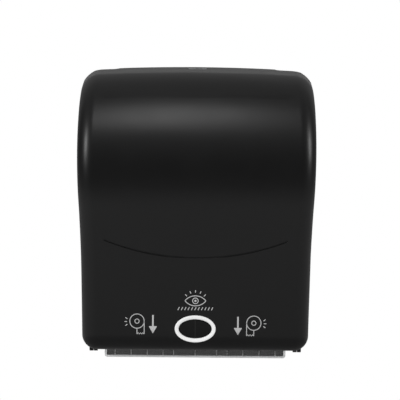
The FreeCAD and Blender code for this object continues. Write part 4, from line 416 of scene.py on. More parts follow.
# Cabinet form as a signed distance
def filleted(p, q, first, second, radius):
    """Distance outside a rounded corner; each side is (normal angle, offset)."""
    normals = [(math.cos(a), math.sin(a)) for a, _ in (first, second)]
    offsets = [d - radius for _, d in (first, second)]
    (ax, ay), (bx, by) = normals
    det = ax * by - ay * bx
    cx = (offsets[0] * by - offsets[1] * ay) / det
    cy = (ax * offsets[1] - bx * offsets[0]) / det
    u, v = p - cx, q - cy
    angle = np.arctan2(v, u)
    flat_a = u * ax + v * ay
    flat_b = u * bx + v * by
    out = np.where(angle < first[0], flat_a, np.where(angle > second[0], flat_b,
                                                      np.hypot(u, v)))
    return out - radius, np.clip(angle, first[0], second[0])


# Half widths at the wall, each with its height above the bottom edge
STATIONS = np.array([(0, 142.0), (60, 143.3), (120, 145.0), (160, 147.1), (195, 149.45),
                     (238, 150.5), (275, 149.6), (300, 147.9), (318, 145.6), (332, 142.7),
                     (348, 136.5)])
SLOPES = np.gradient(STATIONS[:, 1], STATIONS[:, 0])


def half_width(height):
    """Smooth curve through the stations."""
    h = np.clip(height, STATIONS[0, 0], STATIONS[-1, 0])
    i = np.clip(np.searchsorted(STATIONS[:, 0], h) - 1, 0, len(STATIONS) - 2)
    step = STATIONS[i + 1, 0] - STATIONS[i, 0]
    t = (h - STATIONS[i, 0]) / step
    return (STATIONS[i, 1] * (1 + 2 * t) * (1 - t) ** 2 + SLOPES[i] * step * t * (1 - t) ** 2
            + STATIONS[i + 1, 1] * t * t * (3 - 2 * t) + SLOPES[i + 1] * step * t * t * (t - 1))


def form(x, y, z):
    """Below zero inside the cabinet, above zero outside, in millimetres."""
    side = np.abs(x)
    front = FOOT_Y + FLOOR_Z * math.tan(LEAN)
    profile, turn = filleted(-y, z, (-LEAN, -front * math.cos(LEAN)),
                             (math.pi / 2 - TOP_SLOPE, TOP_Z * math.cos(TOP_SLOPE)), ARC_R)
    up = smooth(math.radians(25), math.radians(80), turn)
    profile = profile + side ** 2 * (up / CROWN_CURVE + (1 - up) / FRONT_BOW)
    height = z - FLOOR_Z
    flank = (side - y * math.tan(DRAFT) - half_width(height)) * math.cos(DRAFT)
    under = -height
    g = np.stack([profile, flank, under]) + EDGE_R
    return np.minimum(g.max(axis=0), 0) + np.sqrt((np.maximum(g, 0) ** 2).sum(axis=0)) - EDGE_R


def cast(origin, toward, level=0.0):
    """Points along rays where the form has a level."""
    low = np.zeros(len(origin))
    high = np.full(len(origin), 1.3)
    for _ in range(42):
        middle = (low + high) / 2
        p = origin + toward * middle[:, None]
        inside = form(p[:, 0], p[:, 1], p[:, 2]) < level
        low = np.where(inside, middle, low)
        high = np.where(inside, high, middle)
    return origin + toward * ((low + high) / 2)[:, None]


def front_point(x, z, lift=0.0):
    """Points on the cover's front at the given places, lifted off it."""
    x, z = np.atleast_1d(x).astype(float), np.atleast_1d(z).astype(float)
    origin = np.stack([x, np.full_like(x, -120.0), z], axis=1)
    toward = np.tile(np.array([[0.0, -120.0, 0.0]]), (len(x), 1))
    points = cast(origin, toward)
    return points + np.array([0, -math.cos(LEAN), -math.sin(LEAN)]) * lift


# Cover
def spaced(*stops):
    """Values from stops (start, end, step), joined."""
    out = []
    for start, end, step in stops:
        count = max(1, round(abs(end - start) / step))
        out += [start + (end - start) * i / count for i in range(count)]
    return np.array(out + [stops[-1][1]])


def groove_rise(x):
    """Height of the curved groove over its lowest point."""
    x = np.minimum(np.abs(x), 118.0)
    return GROOVE_R - np.sqrt(GROOVE_R ** 2 - x ** 2)


def cover_skin():
    """Outer and inner skins of the cover as one quad mesh, open at the back."""
    half_x = spaced((0, 84, 7), (84, 107, 6), (107, 112, 0.7), (112, 122, 4), (122, BOX_X, 2.4))
    xs = np.concatenate([-half_x[:0:-1], half_x])
    ys = spaced((COVER_REAR, -40, 5), (-40, -190, 9), (-190, BOX_Y, 2.6))
    band = np.array([-1.6, -0.9, -0.62, -0.34, 0.0, 0.34, 0.62, 0.9, 1.6])
    zs = np.concatenate([spaced((FLOOR_Z, -148, 2.4), (-148, -72, 7), (-72, GROOVE_LOW - 2.6, 3.5)),
                         GROOVE_LOW + band,
                         spaced((GROOVE_LOW + 3, -40, 4.5), (-40, 15, 6), (15, 150, 3.6),
                                (150, TOP_Z, 2.4))])
    centre = np.array([0.0, COVER_REAR, 0.0])

    def rows(x, z):
        fade = np.clip(1 - np.abs(z - GROOVE_LOW) / np.where(z < GROOVE_LOW, 70.0, 90.0), 0, 1)
        return z + groove_rise(x) * fade

    sheets = []
    gx, gz = np.meshgrid(xs, zs, indexing="ij")
    sheets.append((gx, np.full_like(gx, BOX_Y), rows(gx, gz), True))
    for sign in (-1, 1):
        gy, gz = np.meshgrid(ys, zs, indexing="ij")
        sheets.append((np.full_like(gy, sign * BOX_X), gy, rows(np.full_like(gy, BOX_X), gz),
                       False))
    for level in (FLOOR_Z, TOP_Z):
        gx, gy = np.meshgrid(xs, ys, indexing="ij")
        sheets.append((gx, gy, np.full_like(gx, level), False))
    verts, faces = [], []
    for depth in (0.0, -WALL):
        for gx, gy, gz, is_front in sheets:
            n, m = gx.shape
            target = np.stack([gx.ravel(), gy.ravel(), gz.ravel()], axis=1)
            origin = np.tile(centre, (len(target), 1))
            if is_front:
                edge = np.maximum(np.abs(target[:, 0]) / BOX_X, np.abs(target[:, 2]) / TOP_Z)
                keep = 1 - smooth(0.74, 1.0, edge)
                origin[:, 0] = target[:, 0] * keep
                origin[:, 2] = target[:, 2] * keep
            points = cast(origin, target - origin, depth)
            if is_front and depth == 0.0:
                points = press_groove(points)
            start = len(verts)
            verts += [tuple(p) for p in points]
            for i in range(n - 1):
                for j in range(m - 1):
                    a = start + i * m + j
                    faces.append((a, a + 1, a + m + 1, a + m))
    return verts, faces


def press_groove(points):
    """Moves the skin inwards along the shallow curved line across the front."""
    x, z = points[:, 0], points[:, 2]
    centre_z = GROOVE_LOW + GROOVE_R
    off = np.abs(np.hypot(x, centre_z - z) - GROOVE_R)
    below = z < centre_z
    depth = 0.85 * (1 - smooth(0.28, 0.78, off)) * (1 - smooth(108.6, 110.4, np.abs(x))) * below
    inward = np.array([0, math.cos(LEAN), math.sin(LEAN)])
    return points + inward * depth[:, None]


def close_rims(bm):
    """Joins the outer and inner skin along the open back."""
    rim = [e for e in bm.edges if len(e.link_faces) == 1]
    bmesh.ops.bridge_loops(bm, edges=rim)


def box_mesh(low, high):
    corners = [(x, y, z) for x in (low[0], high[0]) for y in (low[1], high[1])
               for z in (low[2], high[2])]
    faces = [(0, 1, 3, 2), (4, 6, 7, 5), (0, 4, 5, 1), (2, 3, 7, 6), (0, 2, 6, 4), (1, 5, 7, 3)]
    return corners, faces


def oval_frame():
    """Centre of the sensor window on the front, with its outward and upward directions."""
    y = FOOT_Y - (OVAL_Z - FLOOR_Z) * math.tan(LEAN)
    outward = np.array([0, -math.cos(LEAN), -math.sin(LEAN)])
    upward = np.array([0, -math.sin(LEAN), math.cos(LEAN)])
    return np.array([0.0, y, OVAL_Z]), outward, upward


def oval_ring(half_width, half_height, lift, count):
    """Points of an oval round the sensor window, lifted off the front."""
    centre, outward, upward = oval_frame()
    ring = []
    for i in range(count):
        t = 2 * math.pi * i / count
        ring.append(centre + outward * lift + np.array([half_width * math.cos(t), 0, 0])
                    + upward * half_height * math.sin(t))
    return ring


def cut(obj, name, verts, faces, operation="DIFFERENCE"):
    """Boolean with a helper mesh that is removed again."""
    tool = make_object(name, verts, faces)
    rework(tool)
    modifier = obj.modifiers.new("cut", "BOOLEAN")
    modifier.operation = operation
    modifier.solver = "EXACT"
    modifier.object = tool
    apply_modifiers(obj)
    bpy.data.objects.remove(tool)


def apply_modifiers(obj):
    """Keeps what the modifiers make as the object's own mesh."""
    graph = bpy.context.evaluated_depsgraph_get()
    graph.update()
    mesh = bpy.data.meshes.new_from_object(obj.evaluated_get(graph))
    obj.modifiers.clear()
    obj.data = mesh


def eye(x0, x1, top, radius=5.5, count=24):
    """Half round hinge ear that hangs under the bottom edge."""
    y, z = HINGE_Y, HINGE_Z
    profile = [(y + radius, top), (y + radius, z)]
    profile += [(y + radius * math.cos(t), z - radius * math.sin(t))
                for t in np.linspace(0, math.pi, count)[1:-1]]
    profile += [(y - radius, z), (y - radius, top)]
    rings = [[(x, py, pz) for py, pz in profile] for x in (x0, x0 + 0.4, x1 - 0.4, x1)]
    for ring, shrink in ((rings[0], 0.92), (rings[3], 0.92)):
        for i, (x, py, pz) in enumerate(ring):
            if pz < top:
                ring[i] = (x, y + (py - y) * shrink, z + (pz - z) * shrink)
    return tube_between(rings)


def rod_points(axis, centre, radius, start, end, count=48):
    """A round rod along x or z."""
    turns = [2 * math.pi * i / count for i in range(count)]
    return tube_between([[beside(axis, centre, along, radius * math.cos(t),
                                 radius * math.sin(t)) for t in turns]
                         for along in (start, end)])


def build_cover():
    """Front cover with its ears, lock collar, openings and bores."""
    obj = make_object("cover_shell", *cover_skin())
    rework(obj, weld, close_rims)
    lock_top = TOP_Z + LOCK_Y * math.tan(TOP_SLOPE)
    collar = rod_points("z", (0, LOCK_Y), 9.0, lock_top - WALL - 1.8, lock_top - 1.5)
    ears = [eye(low, low + EAR_WIDTH, FLOOR_Z + 2.0) for low in (EAR_X, -EAR_X - EAR_WIDTH)]
    cut(obj, "add", *merge(ears), operation="UNION")
    cut(obj, "add", *collar, operation="UNION")
    cut(obj, "opening", *box_mesh((-EAR_X, -165, FLOOR_Z - 12), (EAR_X, -14, FLOOR_Z + 6)))
    inset = BAND - 1.6
    cut(obj, "oval", *tube_between([oval_ring(OVAL_A - inset, OVAL_B - inset, lift, 96)
                                    for lift in (-8, 4)]))
    cut(obj, "bore", *rod_points("z", (0, LOCK_Y), LOCK_BORE_R, 150, 176))
    cut(obj, "pins", *merge([rod_points("x", (HINGE_Y, HINGE_Z), PIN_BORE_R, sign * 127,
                                        sign * 133, 24) for sign in (1, -1)]))
    pocket, polys = box_mesh((-12, -40, -1.2), (12, -14, 6))
    pocket = [(x, y, TOP_Z + y * math.tan(TOP_SLOPE) + h) for x, y, h in pocket]
    cut(obj, "pocket", pocket, polys)
    shade(obj, 32)
    return dress(obj, MATERIALS["cabinet_black"], "cover", ["front_cover"])


def build_washers():
    """Thin washers between the ears of the cover and the lugs of the housing."""
    parts = [rod_points("x", (HINGE_Y, HINGE_Z), 5.3, sign * 127.33, sign * 127.57)
             for sign in (1, -1)]
    obj = make_object("hinge_washers", *merge(parts), 40)
    return dress(obj, MATERIALS["cabinet_black"], "housing")


def build_housing():
    """The housing with the same slight crown over its top as the cover."""
    source = NODES["back_housing"]
    obj = bpy.data.objects.new("housing_shell", source.data.copy())
    bpy.context.scene.collection.objects.link(obj)
    bm = bmesh.new()
    bm.from_mesh(obj.data)
    bmesh.ops.remove_doubles(bm, verts=bm.verts, dist=1e-6)
    for i in range(-14, 15):
        high = [f for f in bm.faces if max(v.co.z for v in f.verts) > 0.150]
        geom = list({v for f in high for v in f.verts}) + list(
            {e for f in high for e in f.edges}) + high
        bmesh.ops.bisect_plane(bm, geom=geom, plane_co=(i * 0.01, 0, 0), plane_no=(1, 0, 0),
                               dist=1e-6)
    tree = BVHTree.FromBMesh(bm)
    levels = np.linspace(FLOOR_Z + 2, TOP_Z - 1.2, 240)
    outer = np.array([tree.ray_cast(Vector((0.2, -0.002, z * MM)), Vector((-1, 0, 0)))[0].x
                      for z in levels]) / MM
    target = cast(np.stack([0 * levels, 0 * levels - 2, levels], axis=1),
                  np.tile(np.array([[160.0, 0, 0]]), (len(levels), 1)))[:, 0]
    for v in bm.verts:
        x, z = v.co.x / MM, v.co.z / MM
        weight = float(smooth(150.0, 166.0, np.array(z)))
        lower = z - x ** 2 / CROWN_CURVE * weight
        ratio = np.interp(lower, levels, target) / np.interp(z, levels, outer)
        share = float(smooth(95.0, 125.0, np.array(abs(x))))
        v.co.x *= 1 + (ratio - 1) * share
        v.co.z = lower * MM
    bm.to_mesh(obj.data)
    bm.free()
    shade(obj, 32)
    return dress(obj, MATERIALS["cabinet_black"], "housing", ["back_housing"])


# Sensor ring and window
def build_bezel():
    """White ring; its section is drawn for a band of 5.4 and drawn in to the real one."""
    drawn = 5.4
    section = [(0.0, 0.05), (0.0, 0.75), (0.16, 1.2), (0.5, 1.52), (1.0, 1.7), (1.7, 1.78),
               (2.5, 1.74), (3.0, 1.62), (3.3, 1.5), (3.8, 1.42), (4.4, 1.2), (4.9, 0.85),
               (5.25, 0.35), (drawn, -0.4), (drawn, -3.0), (3.9, -3.0), (3.9, 0.05)]
    loops = [oval_ring(OVAL_A - inset * BAND / drawn, OVAL_B - inset * BAND / drawn, lift, 160)
             for inset, lift in section]
    rings = [list(ring) for ring in zip(*loops)]
    obj = make_object("bezel_ring", *tube_between(rings, closed=True), 40)
    return dress(obj, MATERIALS["bezel_white"], "cover", ["sensor_bezel"])


def build_window():
    """Slightly domed lens with the fine line that its mould left down the middle; the line is paler
    than the lens, a painted sheen along its ridge.
    """
    centre, outward, upward = oval_frame()
    a, b = OVAL_A - BAND - 0.1, OVAL_B - BAND - 0.1
    top, dome, edge_drop, back = 1.1, 0.45, 0.35, -0.9
    levels = [(top - dome * r * r - (edge_drop if r == 1.0 else 0), r)
              for r in (0.2, 0.4, 0.6, 0.75, 0.88, 0.96, 1.0)]
    rings = [oval_ring(a * scale, b * scale, level, 128)
             for level, scale in levels + [(back, 1.0), (back, 0.5)]]
    obj = make_object("sensor_lens", *tube_between(rings), 35)
    dress(obj, MATERIALS["window_smoke"], "cover", ["sensor_window"])
    rings = []
    for t in np.linspace(-0.9, 0.9, 25):
        base = centre + outward * (top - dome * t * t) + upward * b * t
        rings.append([base + outward * h + np.array([x, 0, 0])
                      for x, h in ((-0.5, -0.08), (-0.5, 0.02), (0, 0.09), (0.5, 0.02),
                                   (0.5, -0.08))])
    # The raised line's paler colour is a painted sheen
    seam = make_object("lens_seam_painted_sheen", *tube_between(rings), 60)
    dress(seam, MATERIALS["lens_seam_painted_sheen"], "cover")


# Guard and blade
def rounded_path(corners, radius, count=8):
    """A polyline with its inner corners rounded, in two coordinates."""
    out = [np.array(corners[0], float)]
    for a, b, c in zip(corners, corners[1:], corners[2:]):
        a, b, c = (np.array(p, float) for p in (a, b, c))
        u, v = (a - b) / np.linalg.norm(a - b), (c - b) / np.linalg.norm(c - b)
        half = math.acos(float(np.clip(u @ v, -1, 1))) / 2
        start, end = b + u * radius / math.tan(half), b + v * radius / math.tan(half)
        centre = b + (u + v) / np.linalg.norm(u + v) * radius / math.sin(half)
        first, last = start - centre, end - centre
        angle = math.pi - 2 * half
        for i in range(count + 1):
            t = i / count
            mix = (first * math.sin((1 - t) * angle) + last * math.sin(t * angle))
            out.append(centre + mix / math.sin(angle))
    return out + [np.array(corners[-1], float)]


def box_rounded(x0, x1, y0, y1, z0, z1, bevel):
    """A bar with bevelled long edges, along z."""
    rings = []
    for z, inset in ((z0, bevel), (z0 + bevel, 0), (z1 - bevel, 0), (z1, bevel)):
        a, b, c, d = x0 + inset, x1 - inset, y0 + inset, y1 - inset
        e = bevel
        rings.append([(a + e, c, z), (b - e, c, z), (b, c + e, z), (b, d - e, z),
                      (b - e, d, z), (a + e, d, z), (a, d - e, z), (a, c + e, z)])
    return tube_between(rings)


def build_guard():
    """Panes tinted dark as painted shade over the blade, pale ribs and a pale rim round the ends
    and the bottom, whose paleness is painted light caught in the clear edges.
    """
    inner = GUARD_X - RIM + 0.2
    low = GUARD_LOW + RIM - 0.2
    front, back, lip = GUARD_Y - 1, GUARD_Y + 1, -144.5
    profile = rounded_path([(back, low), (front, low), (front, GUARD_TOP), (lip, GUARD_TOP),
                            (lip, GUARD_TOP - 2), (back, GUARD_TOP - 2)], 0.4, 3)
    rings = [[(x, y, z) for y, z in profile] for x in np.linspace(-inner, inner, 9)]
    # The panes' dark tint is painted shade
    obj = make_object("guard_panes", *tube_between(rings), 30)
    dress(obj, MATERIALS["guard_smoke"], "housing", ["clear_guard"])
    half, thick = RIM / 2, 1.2
    middle, bottom = GUARD_X - half, GUARD_LOW + half
    path = rounded_path([(-middle, GUARD_TOP), (-middle, bottom), (middle, bottom),
                         (middle, GUARD_TOP)], 2.2)
    section = [(half, 0.6), (half, -0.6), (0.95, -thick), (-0.95, -thick), (-half, -0.6),
               (-half, 0.6), (-0.95, thick), (0.95, thick)]
    rings = []
    for i, p in enumerate(path):
        way = path[min(i + 1, len(path) - 1)] - path[max(i - 1, 0)]
        way = way / np.linalg.norm(way)
        side = np.array([-way[1], way[0]])
        rings.append([(p[0] + side[0] * u, GUARD_Y + v, p[1] + side[1] * u)
                      for u, v in section])
    parts = [tube_between(rings)]
    ribs = (26, 38.8, 58, 77.6, 97)
    for x in (*(-rib for rib in reversed(ribs)), 0, *ribs):
        parts.append(box_rounded(x - 0.5, x + 0.5, -152.3, -150.8, low - 0.3,
                                 GUARD_TOP - 1, 0.2))
    # Rim and ribs take the pale colour that paints the light in the clear edges
    obj = make_object("guard_rim", *merge(parts), 30)
    dress(obj, MATERIALS["guard_edge"], "housing", ["clear_guard"])


def build_blade():
    """Toothed steel strip behind the guard, a little shorter than it."""
    pitch, count = 3.5, 60
    tip, root, top = GUARD_LOW + 0.5, GUARD_LOW + 2.9, -172.0
    front, back = -145.4, -144.4
    x0 = -pitch * count / 2
    edge = []
    for i in range(count):
        edge += [(x0 + pitch * i, root), (x0 + pitch * (i + 0.5), tip)]
    edge.append((x0 + pitch * count, root))
    verts, faces = [], []
    for x, z in edge:
        bevel = 0.25 if z == tip else 0.0
        verts += [(x, front + bevel, z), (x, back - bevel, z), (x, front, top),
                  (x, back, top)]
    for i in range(len(edge) - 1):
        a, b = 4 * i, 4 * i + 4
        faces += [(a, b, b + 2, a + 2), (a + 1, a + 3, b + 3, b + 1), (a, a + 1, b + 1, b),
                  (a + 2, b + 2, b + 3, a + 3)]
    last = 4 * (len(edge) - 1)
    faces += [(0, 2, 3, 1), (last, last + 1, last + 3, last + 2)]
    obj = make_object("blade_strip", verts, faces, 20)
    dress(obj, MATERIALS["steel"], "housing", ["tear_blade"])


# Pale print on the cover: generic marks
def ribbon(points, width, lift=0.07, closed=False):
    """A thin raised line along points given as (x, z) on the front."""
    points = np.array(points, float)
    ahead, back = np.roll(points, -1, axis=0), np.roll(points, 1, axis=0)
    if not closed:
        ahead[-1], back[0] = points[-1], points[0]
    way = ahead - back
    way /= np.linalg.norm(way, axis=1)[:, None]
    side = np.stack([-way[:, 1], way[:, 0]], axis=1) * width / 2
    left, right = points + side, points - side
    loops = [front_point(edge[:, 0], edge[:, 1], level)
             for edge, level in ((left, -0.05), (left, lift), (right, lift), (right, -0.05))]
    rings = [[tuple(loop[i]) for loop in loops] for i in range(len(points))]
    return tube_between(rings, closed=closed)


def line(a, b, step=2.0):
    """Points along a straight line."""
    count = max(2, int(math.dist(a, b) / step) + 2)
    return [(a[0] + (b[0] - a[0]) * t, a[1] + (b[1] - a[1]) * t)
            for t in np.linspace(0, 1, count)]


def arc(x, z, radius, start, end, count=24):
    """Points along an arc between two angles in degrees."""
    return [(x + radius * math.cos(math.radians(t)), z + radius * math.sin(math.radians(t)))
            for t in np.linspace(start, end, count)]


def build_print():
    """Roll marks at both sides, an eye over the window and a row of strokes."""
    parts = []
    for side, x, z in ((1, -62.1, -142.9), (-1, 62.5, -144.2)):
        def put(points, width=0.9, closed=False):
            parts.append(ribbon([(x + side * u, z + v) for u, v in points], width,
                                closed=closed))
        put(arc(-7.5, 4.0, 8.6, 0, 345), closed=True)
        put(arc(-7.5, 4.0, 2.6, 0, 330, 14), closed=True)
        put(line((1.1, 4.0), (1.1, -11.5)))
        put(line((-7.5, -4.9), (-7.5, -11.5)))
        teeth = [(-7.5 + 8.6 * i / 6, -11.5 + (1.6 if i % 2 else 0)) for i in range(7)]
        put(teeth)
        put(line((11.5, 11.5), (11.5, -2.5)), 1.9)
        put([(11.5 + s, -2.5 - 8 * t) for s, t in ((0, 0), (0, 0.35), (0, 0.98))], 0.3)
        for t in np.linspace(0, 1, 9)[:-1]:
            put([(11.5 - 4.6 * (1 - t), -2.5 - 8 * t), (11.5 + 4.6 * (1 - t), -2.5 - 8 * t)],
                1.15)
        for low, high in (((-19.0, 6.6), (-21.4, 8.4)), ((-19.4, 3.4), (-22.4, 3.4)),
                          ((-19.0, 0.2), (-21.4, -1.6))):
            put([low, high])
    lid = math.degrees(math.asin(12.5 / 16.0))
    for z, start in ((-124.0, 90 - lid), (-104.0, 270 - lid)):
        parts.append(ribbon(arc(0, z, 16.0, start, start + 2 * lid), 0.9))
    parts.append(ribbon(arc(0, -114.0, 3.4, 0, 340, 18), 0.9, closed=True))
    parts.append(ribbon(arc(0, -114.0, 0.7, 0, 330, 12), 1.3, closed=True))
    for t in (-46, -23, 0, 23, 46):
        u, v = math.sin(math.radians(t)), math.cos(math.radians(t))
        parts.append(ribbon(line((14.0 * u, -118.2 + 14.0 * v), (17.0 * u, -118.2 + 17.0 * v)),
                            0.9))
    for i in range(11):
        u = -20 + 4 * i
        parts.append(ribbon(line((u - 0.9, -125.2), (u + 0.9, -121.6)), 0.9))
    obj = make_object("cover_print", *merge(parts), 30)
    rework(obj)
    dress(obj, MATERIALS["print"], "cover")


# Towel
def drop_slivers(bm):
    """Takes out faces without area."""
    bmesh.ops.dissolve_degenerate(bm, edges=bm.edges, dist=1e-7)


def build_roll():
    """Wound roll: its layers show as a spiral on both ends."""
    rng = np.random.default_rng(7)
    turns, per = 24, 96
    pitch = (ROLL_R - BORE_R) / turns
    lift = rng.uniform(0.0, 0.45, turns + 3)
    steps = np.arange(-per, per * (turns + 1) + 1)
    theta = 2 * math.pi * steps / per
    turn = steps / per
    base = BORE_R + pitch * turn
    fractions = (0.0, 0.16, 0.84)
    rim_drop, gap_drop, layer_drop = 1.2, 0.9, 0.25
    verts, index = [], {}
    for side in (-1, 1):
        for k, f in enumerate(fractions):
            radius = np.clip(base + pitch * f, BORE_R, ROLL_R)
            which = np.clip(turn + 1, 0, turns + 1)
            depth = np.interp(which, np.arange(turns + 3), lift)
            drop = gap_drop if k == 0 else layer_drop + depth
            x = side * (ROLL_HALF - np.where(radius >= ROLL_R - 1e-6, rim_drop, drop))
            index[side, k] = len(verts)
            verts += [(x[i], ROLL_Y + radius[i] * math.cos(theta[i]),
                       ROLL_Z + radius[i] * math.sin(theta[i])) for i in range(len(steps))]
    faces = []
    count = len(steps)
    for side in (-1, 1):
        a, b, c = (index[side, k] for k in range(3))
        for i in range(count - 1):
            faces.append((a + i, a + i + 1, b + i + 1, b + i))
            faces.append((b + i, b + i + 1, c + i + 1, c + i))
            if i + per + 1 < count:
                faces.append((c + i, c + i + 1, a + i + 1 + per, a + i + per))
    for start in (0, count - per - 1):
        for i in range(start, start + per):
            p, q = index[-1, 0] + i, index[1, 0] + i
            faces.append((p, p + 1, q + 1, q))
    obj = make_object("towel_windings", verts, faces)
    rework(obj, weld, drop_slivers)
    shade(obj, 28)
    return dress(obj, MATERIALS["paper_roll"], "roll", ["towel_roll"])


def build_web(roll):
    """Loose end: from the front of the roll over the nip and down to the blade."""
    turn = np.array([NIP_Y, TURN_Z])
    radius = ROLL_R + 0.4
    reach = turn - np.array([ROLL_Y, ROLL_Z])
    heading = math.atan2(reach[1], reach[0]) - math.acos(radius / np.linalg.norm(reach))
    leave = np.array([ROLL_Y + radius * math.cos(heading), ROLL_Z + radius * math.sin(heading)])
    bend = rounded_path([leave, turn, (NIP_Y, WEB_END)], 22.0, 10)
    path = [np.array(p) for p in line(leave, bend[1], 6.0)] + bend[2:-2]
    path += [np.array(p) for p in line(bend[-2], bend[-1], 6.0)]
    xs = np.linspace(-WEB_HALF, WEB_HALF, 57)
    rows = []
    for i, p in enumerate(path):
        way = path[min(i + 1, len(path) - 1)] - path[max(i - 1, 0)]
        way = way / np.linalg.norm(way)
        normal = np.array([way[1], -way[0]])
        free = max(0.0, math.sin(math.pi * min(1.0, (leave[1] - p[1]) / (leave[1] - TURN_Z))))
        for face in (WEB_THICK / 2, -WEB_THICK / 2):
            row = []
            for j, x in enumerate(xs):
                wave = free * 0.35 * math.sin(x * 0.055 + 0.8)
                y, z = p + normal * (face + wave)
                if i == len(path) - 1:
                    z += 0.7 * (j % 2)
                row.append((x, y, z))
            rows.append(row)
    across = len(xs)
    rings = [rows[2 * i] + rows[2 * i + 1][::-1] for i in range(len(path))]
    verts, faces = tube_between(rings, caps=False)
    for start in (0, (len(rings) - 1) * 2 * across):
        for j in range(across - 1):
            a, b = start + j, start + 2 * across - 1 - j
            faces.append((a, a + 1, b - 1, b))
    obj = make_object("towel_web", verts, faces)
    rework(obj)
    shade(obj, 50)
    dress(obj, MATERIALS["paper_white"], "housing", ["paper_web"])


# Springs
def coil(axis, centre, radius, wire, start, end, turns, legs=()):
    """Round wire in turns along x or z, with straight legs at the ends."""
    path = []
    steps = int(turns * 20)
    for i in range(steps + 1):
        t = i / steps
        angle = 2 * math.pi * turns * t
        along = start + (end - start) * t
        path.append(np.array(beside(axis, centre, along, radius * math.cos(angle),
                                    radius * math.sin(angle))))
    for at_start, leg in legs:
        leg = np.array(leg, float)
        path = [path[0] + leg] + path if at_start else path + [path[-1] + leg]
    rings = []
    for i, p in enumerate(path):
        way = path[min(i + 1, len(path) - 1)] - path[max(i - 1, 0)]
        way = way / np.linalg.norm(way)
        hint = np.array([1.0, 0, 0]) if axis == "x" else np.array([0, 0, 1.0])
        u = np.cross(way, hint)
        u = u / np.linalg.norm(u)
        v = np.cross(way, u)
        rings.append([tuple(p + wire / 2 * (u * math.cos(t) + v * math.sin(t)))
                      for t in np.linspace(0, 2 * math.pi, 10)[:-1]])
    return tube_between(rings)


def build_springs():
    """Wound wire in the places of the plain rings."""
    def node_box(name):
        return [np.array(corner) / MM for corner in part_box(name)]

    low, high = node_box("arm_springs")
    parts = []
    for sign in (1, -1):
        centre = (sign * (high[0] - 4.4), -16.0)
        parts.append(coil("z", centre, 3.8, 1.1, low[2] + 0.6, high[2] - 0.6, 4.5,
                          [(True, (0, 8.6, 0)), (False, (0, -5.5, 0))]))
    obj = make_object("arm_coils", *merge(parts), 60)
    dress(obj, MATERIALS["steel"], "housing", ["arm_springs"])
    low, high = node_box("pinch_springs")
    centre = ((low[1] + high[1]) / 2, (low[2] + high[2]) / 2)
    parts = []
    for sign in (1, -1):
        outer = sign * (high[0] - 0.55)
        parts.append(coil("x", centre, 3.4, 1.05, outer, outer - sign * 5.3, 4.25,
                          [(True, (0, 0, 3.2)), (False, (0, 2.5, 0))]))
    obj = make_object("pinch_coils", *merge(parts), 60)
    dress(obj, MATERIALS["steel"], "housing", ["pinch_springs"])


build_cover()
build_housing()
build_washers()
build_bezel()
build_window()
build_guard()
build_blade()
build_print()
build_web(build_roll())
build_springs()


# Stage
def build_floor():
    """Pale floor well under the part; seen in the gloss its colour is painted shade, dimmer than
    the floor and darkest near the part as a painted shadow.
    """
    verts = [(x, y, STAGE_LEVEL)
             for x, y in ((-STAGE_REACH, STAGE_NEAR), (STAGE_REACH, STAGE_NEAR),
                          (STAGE_REACH, STAGE_FAR), (-STAGE_REACH, STAGE_FAR))]
    floor = make_object("studio_floor", verts, [(0, 1, 2, 3)])
    material, tree, shader = principled("studio_floor", (FLOOR_COLOR,) * 3, 0.9)
    nodes = tree.nodes
    path = nodes.new("ShaderNodeLightPath")
    coords = nodes.new("ShaderNodeTexCoord")
    away = nodes.new("ShaderNodeVectorMath")
    away.operation = "LENGTH"
    link(tree, coords, "Object", away, "Vector")
    # Painted shadow: the floor's colour in the gloss darkens towards the part
    dim = nodes.new("ShaderNodeMapRange")
    for key, value in (("From Min", 0.8), ("From Max", 1.7), ("To Min", FLOOR_PAINTED_SHADE_NEAR),
                       ("To Max", FLOOR_PAINTED_SHADE_FAR)):
        dim.inputs[key].default_value = value
    link(tree, away, "Value", dim, "Value")
    mix = nodes.new("ShaderNodeMix")
    mix.data_type = "FLOAT"
    mix.inputs["A"].default_value = FLOOR_COLOR
    link(tree, path, "Is Glossy Ray", mix, "Factor")
    link(tree, dim, "Result", mix, "B")
    link(tree, mix, "Result", shader, "Base Color")
    floor.data.materials.append(material)


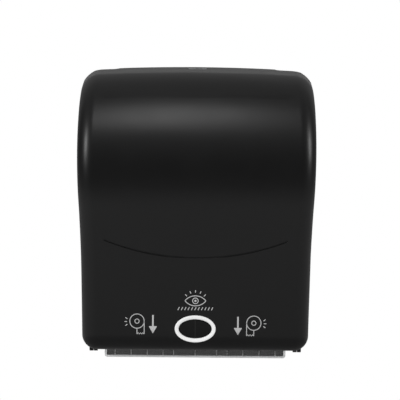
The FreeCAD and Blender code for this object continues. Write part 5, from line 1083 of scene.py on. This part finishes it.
def build_world():
    """White to the camera, one even level for soft light, and a dim room in the gloss.

    The gloss sees white only straight behind the part, and a paler sweep, ceiling and rear.
    """
    world = bpy.data.worlds.new("studio")
    bpy.context.scene.world = world
    world.use_nodes = True
    tree = world.node_tree
    nodes = tree.nodes
    background = nodes["Background"]
    background.inputs["Color"].default_value = (1, 1, 1, 1)
    path = nodes.new("ShaderNodeLightPath")
    coords = nodes.new("ShaderNodeTexCoord")
    split = nodes.new("ShaderNodeSeparateXYZ")
    link(tree, coords, "Generated", split, "Vector")

    def ramp(source, output, start, end, low, high):
        node = nodes.new("ShaderNodeMapRange")
        node.interpolation_type = "SMOOTHSTEP"
        for key, value in (("From Min", start), ("From Max", end), ("To Min", low),
                           ("To Max", high)):
            node.inputs[key].default_value = value
        link(tree, source, output, node, "Value")
        return node

    def math_node(operation, *sources):
        node = nodes.new("ShaderNodeMath")
        node.operation = operation
        for i, (source, output) in enumerate(sources):
            tree.links.new(source.outputs[output], node.inputs[i])
        return node

    room = ramp(split, "Z", -0.10, 0.05, SWEEP_LEVEL, ROOM_LEVEL)
    above = ramp(split, "Z", 0.2, 0.8, 0.0, CEILING_LEVEL)
    rear = ramp(split, "Y", 0.45, 0.80, 0.0, REAR_LEVEL)
    behind = ramp(split, "Y", 0.96, 0.999, 0.0, 1.0)
    seen = math_node("MULTIPLY", (path, "Is Glossy Ray"), (behind, "Result"))
    seen = math_node("MAXIMUM", (path, "Is Camera Ray"), (seen, "Value"))
    seen = math_node("MAXIMUM", (path, "Is Transmission Ray"), (seen, "Value"))
    soft = ramp(path, "Is Diffuse Ray", 0.0, 1.0, 0.0, DIFFUSE_LEVEL)
    room = math_node("MAXIMUM", (room, "Result"), (above, "Result"))
    room = math_node("MAXIMUM", (room, "Value"), (rear, "Result"))
    room = math_node("MAXIMUM", (room, "Value"), (soft, "Result"))
    level = math_node("MAXIMUM", (room, "Value"), (seen, "Value"))
    link(tree, level, "Value", background, "Strength")


def area(name, place, target, size, power):
    """A rectangular lamp that faces a target."""
    data = bpy.data.lights.new(name, "AREA")
    data.shape = "RECTANGLE"
    data.size, data.size_y = size
    data.energy = power
    obj = bpy.data.objects.new(name, data)
    obj.location = place
    way = Vector(target) - Vector(place)
    obj.rotation_euler = way.to_track_quat("-Z", "Y").to_euler()
    bpy.context.scene.collection.objects.link(obj)
    return obj


def build_lights():
    """Three lamps; two of them show in the gloss alone, so that pale pieces don't clip."""
    top = area("top_box", (-0.05, -0.395, 0.90), (0, -0.2, 0.11), (0.22, 0.36), 0.9)
    area("left_box", (-1.78, -1.04, 1.40), (-0.13, -0.2, 0.08), (0.35, 0.7), 14)
    right = area("right_box", (1.98, -0.50, 1.17), (0.13, -0.2, 0.08), (0.35, 0.7), 10.5)
    for lamp in (top, right):
        lamp.visible_diffuse = False


def build_camera():
    """Far and level, with the photo's slight tilt."""
    data = bpy.data.cameras.new("camera")
    data.lens = 285.4
    data.sensor_width = 36.0
    data.clip_end = 100.0
    obj = bpy.data.objects.new("camera", data)
    obj.location = (0.0044, -4.0, 0.0064)
    obj.rotation_euler = (math.radians(90), math.radians(-0.5), 0)
    bpy.context.scene.collection.objects.link(obj)
    bpy.context.scene.camera = obj


build_floor()
build_world()
build_lights()
build_camera()
bpy.context.scene.view_settings.view_transform = "Standard"
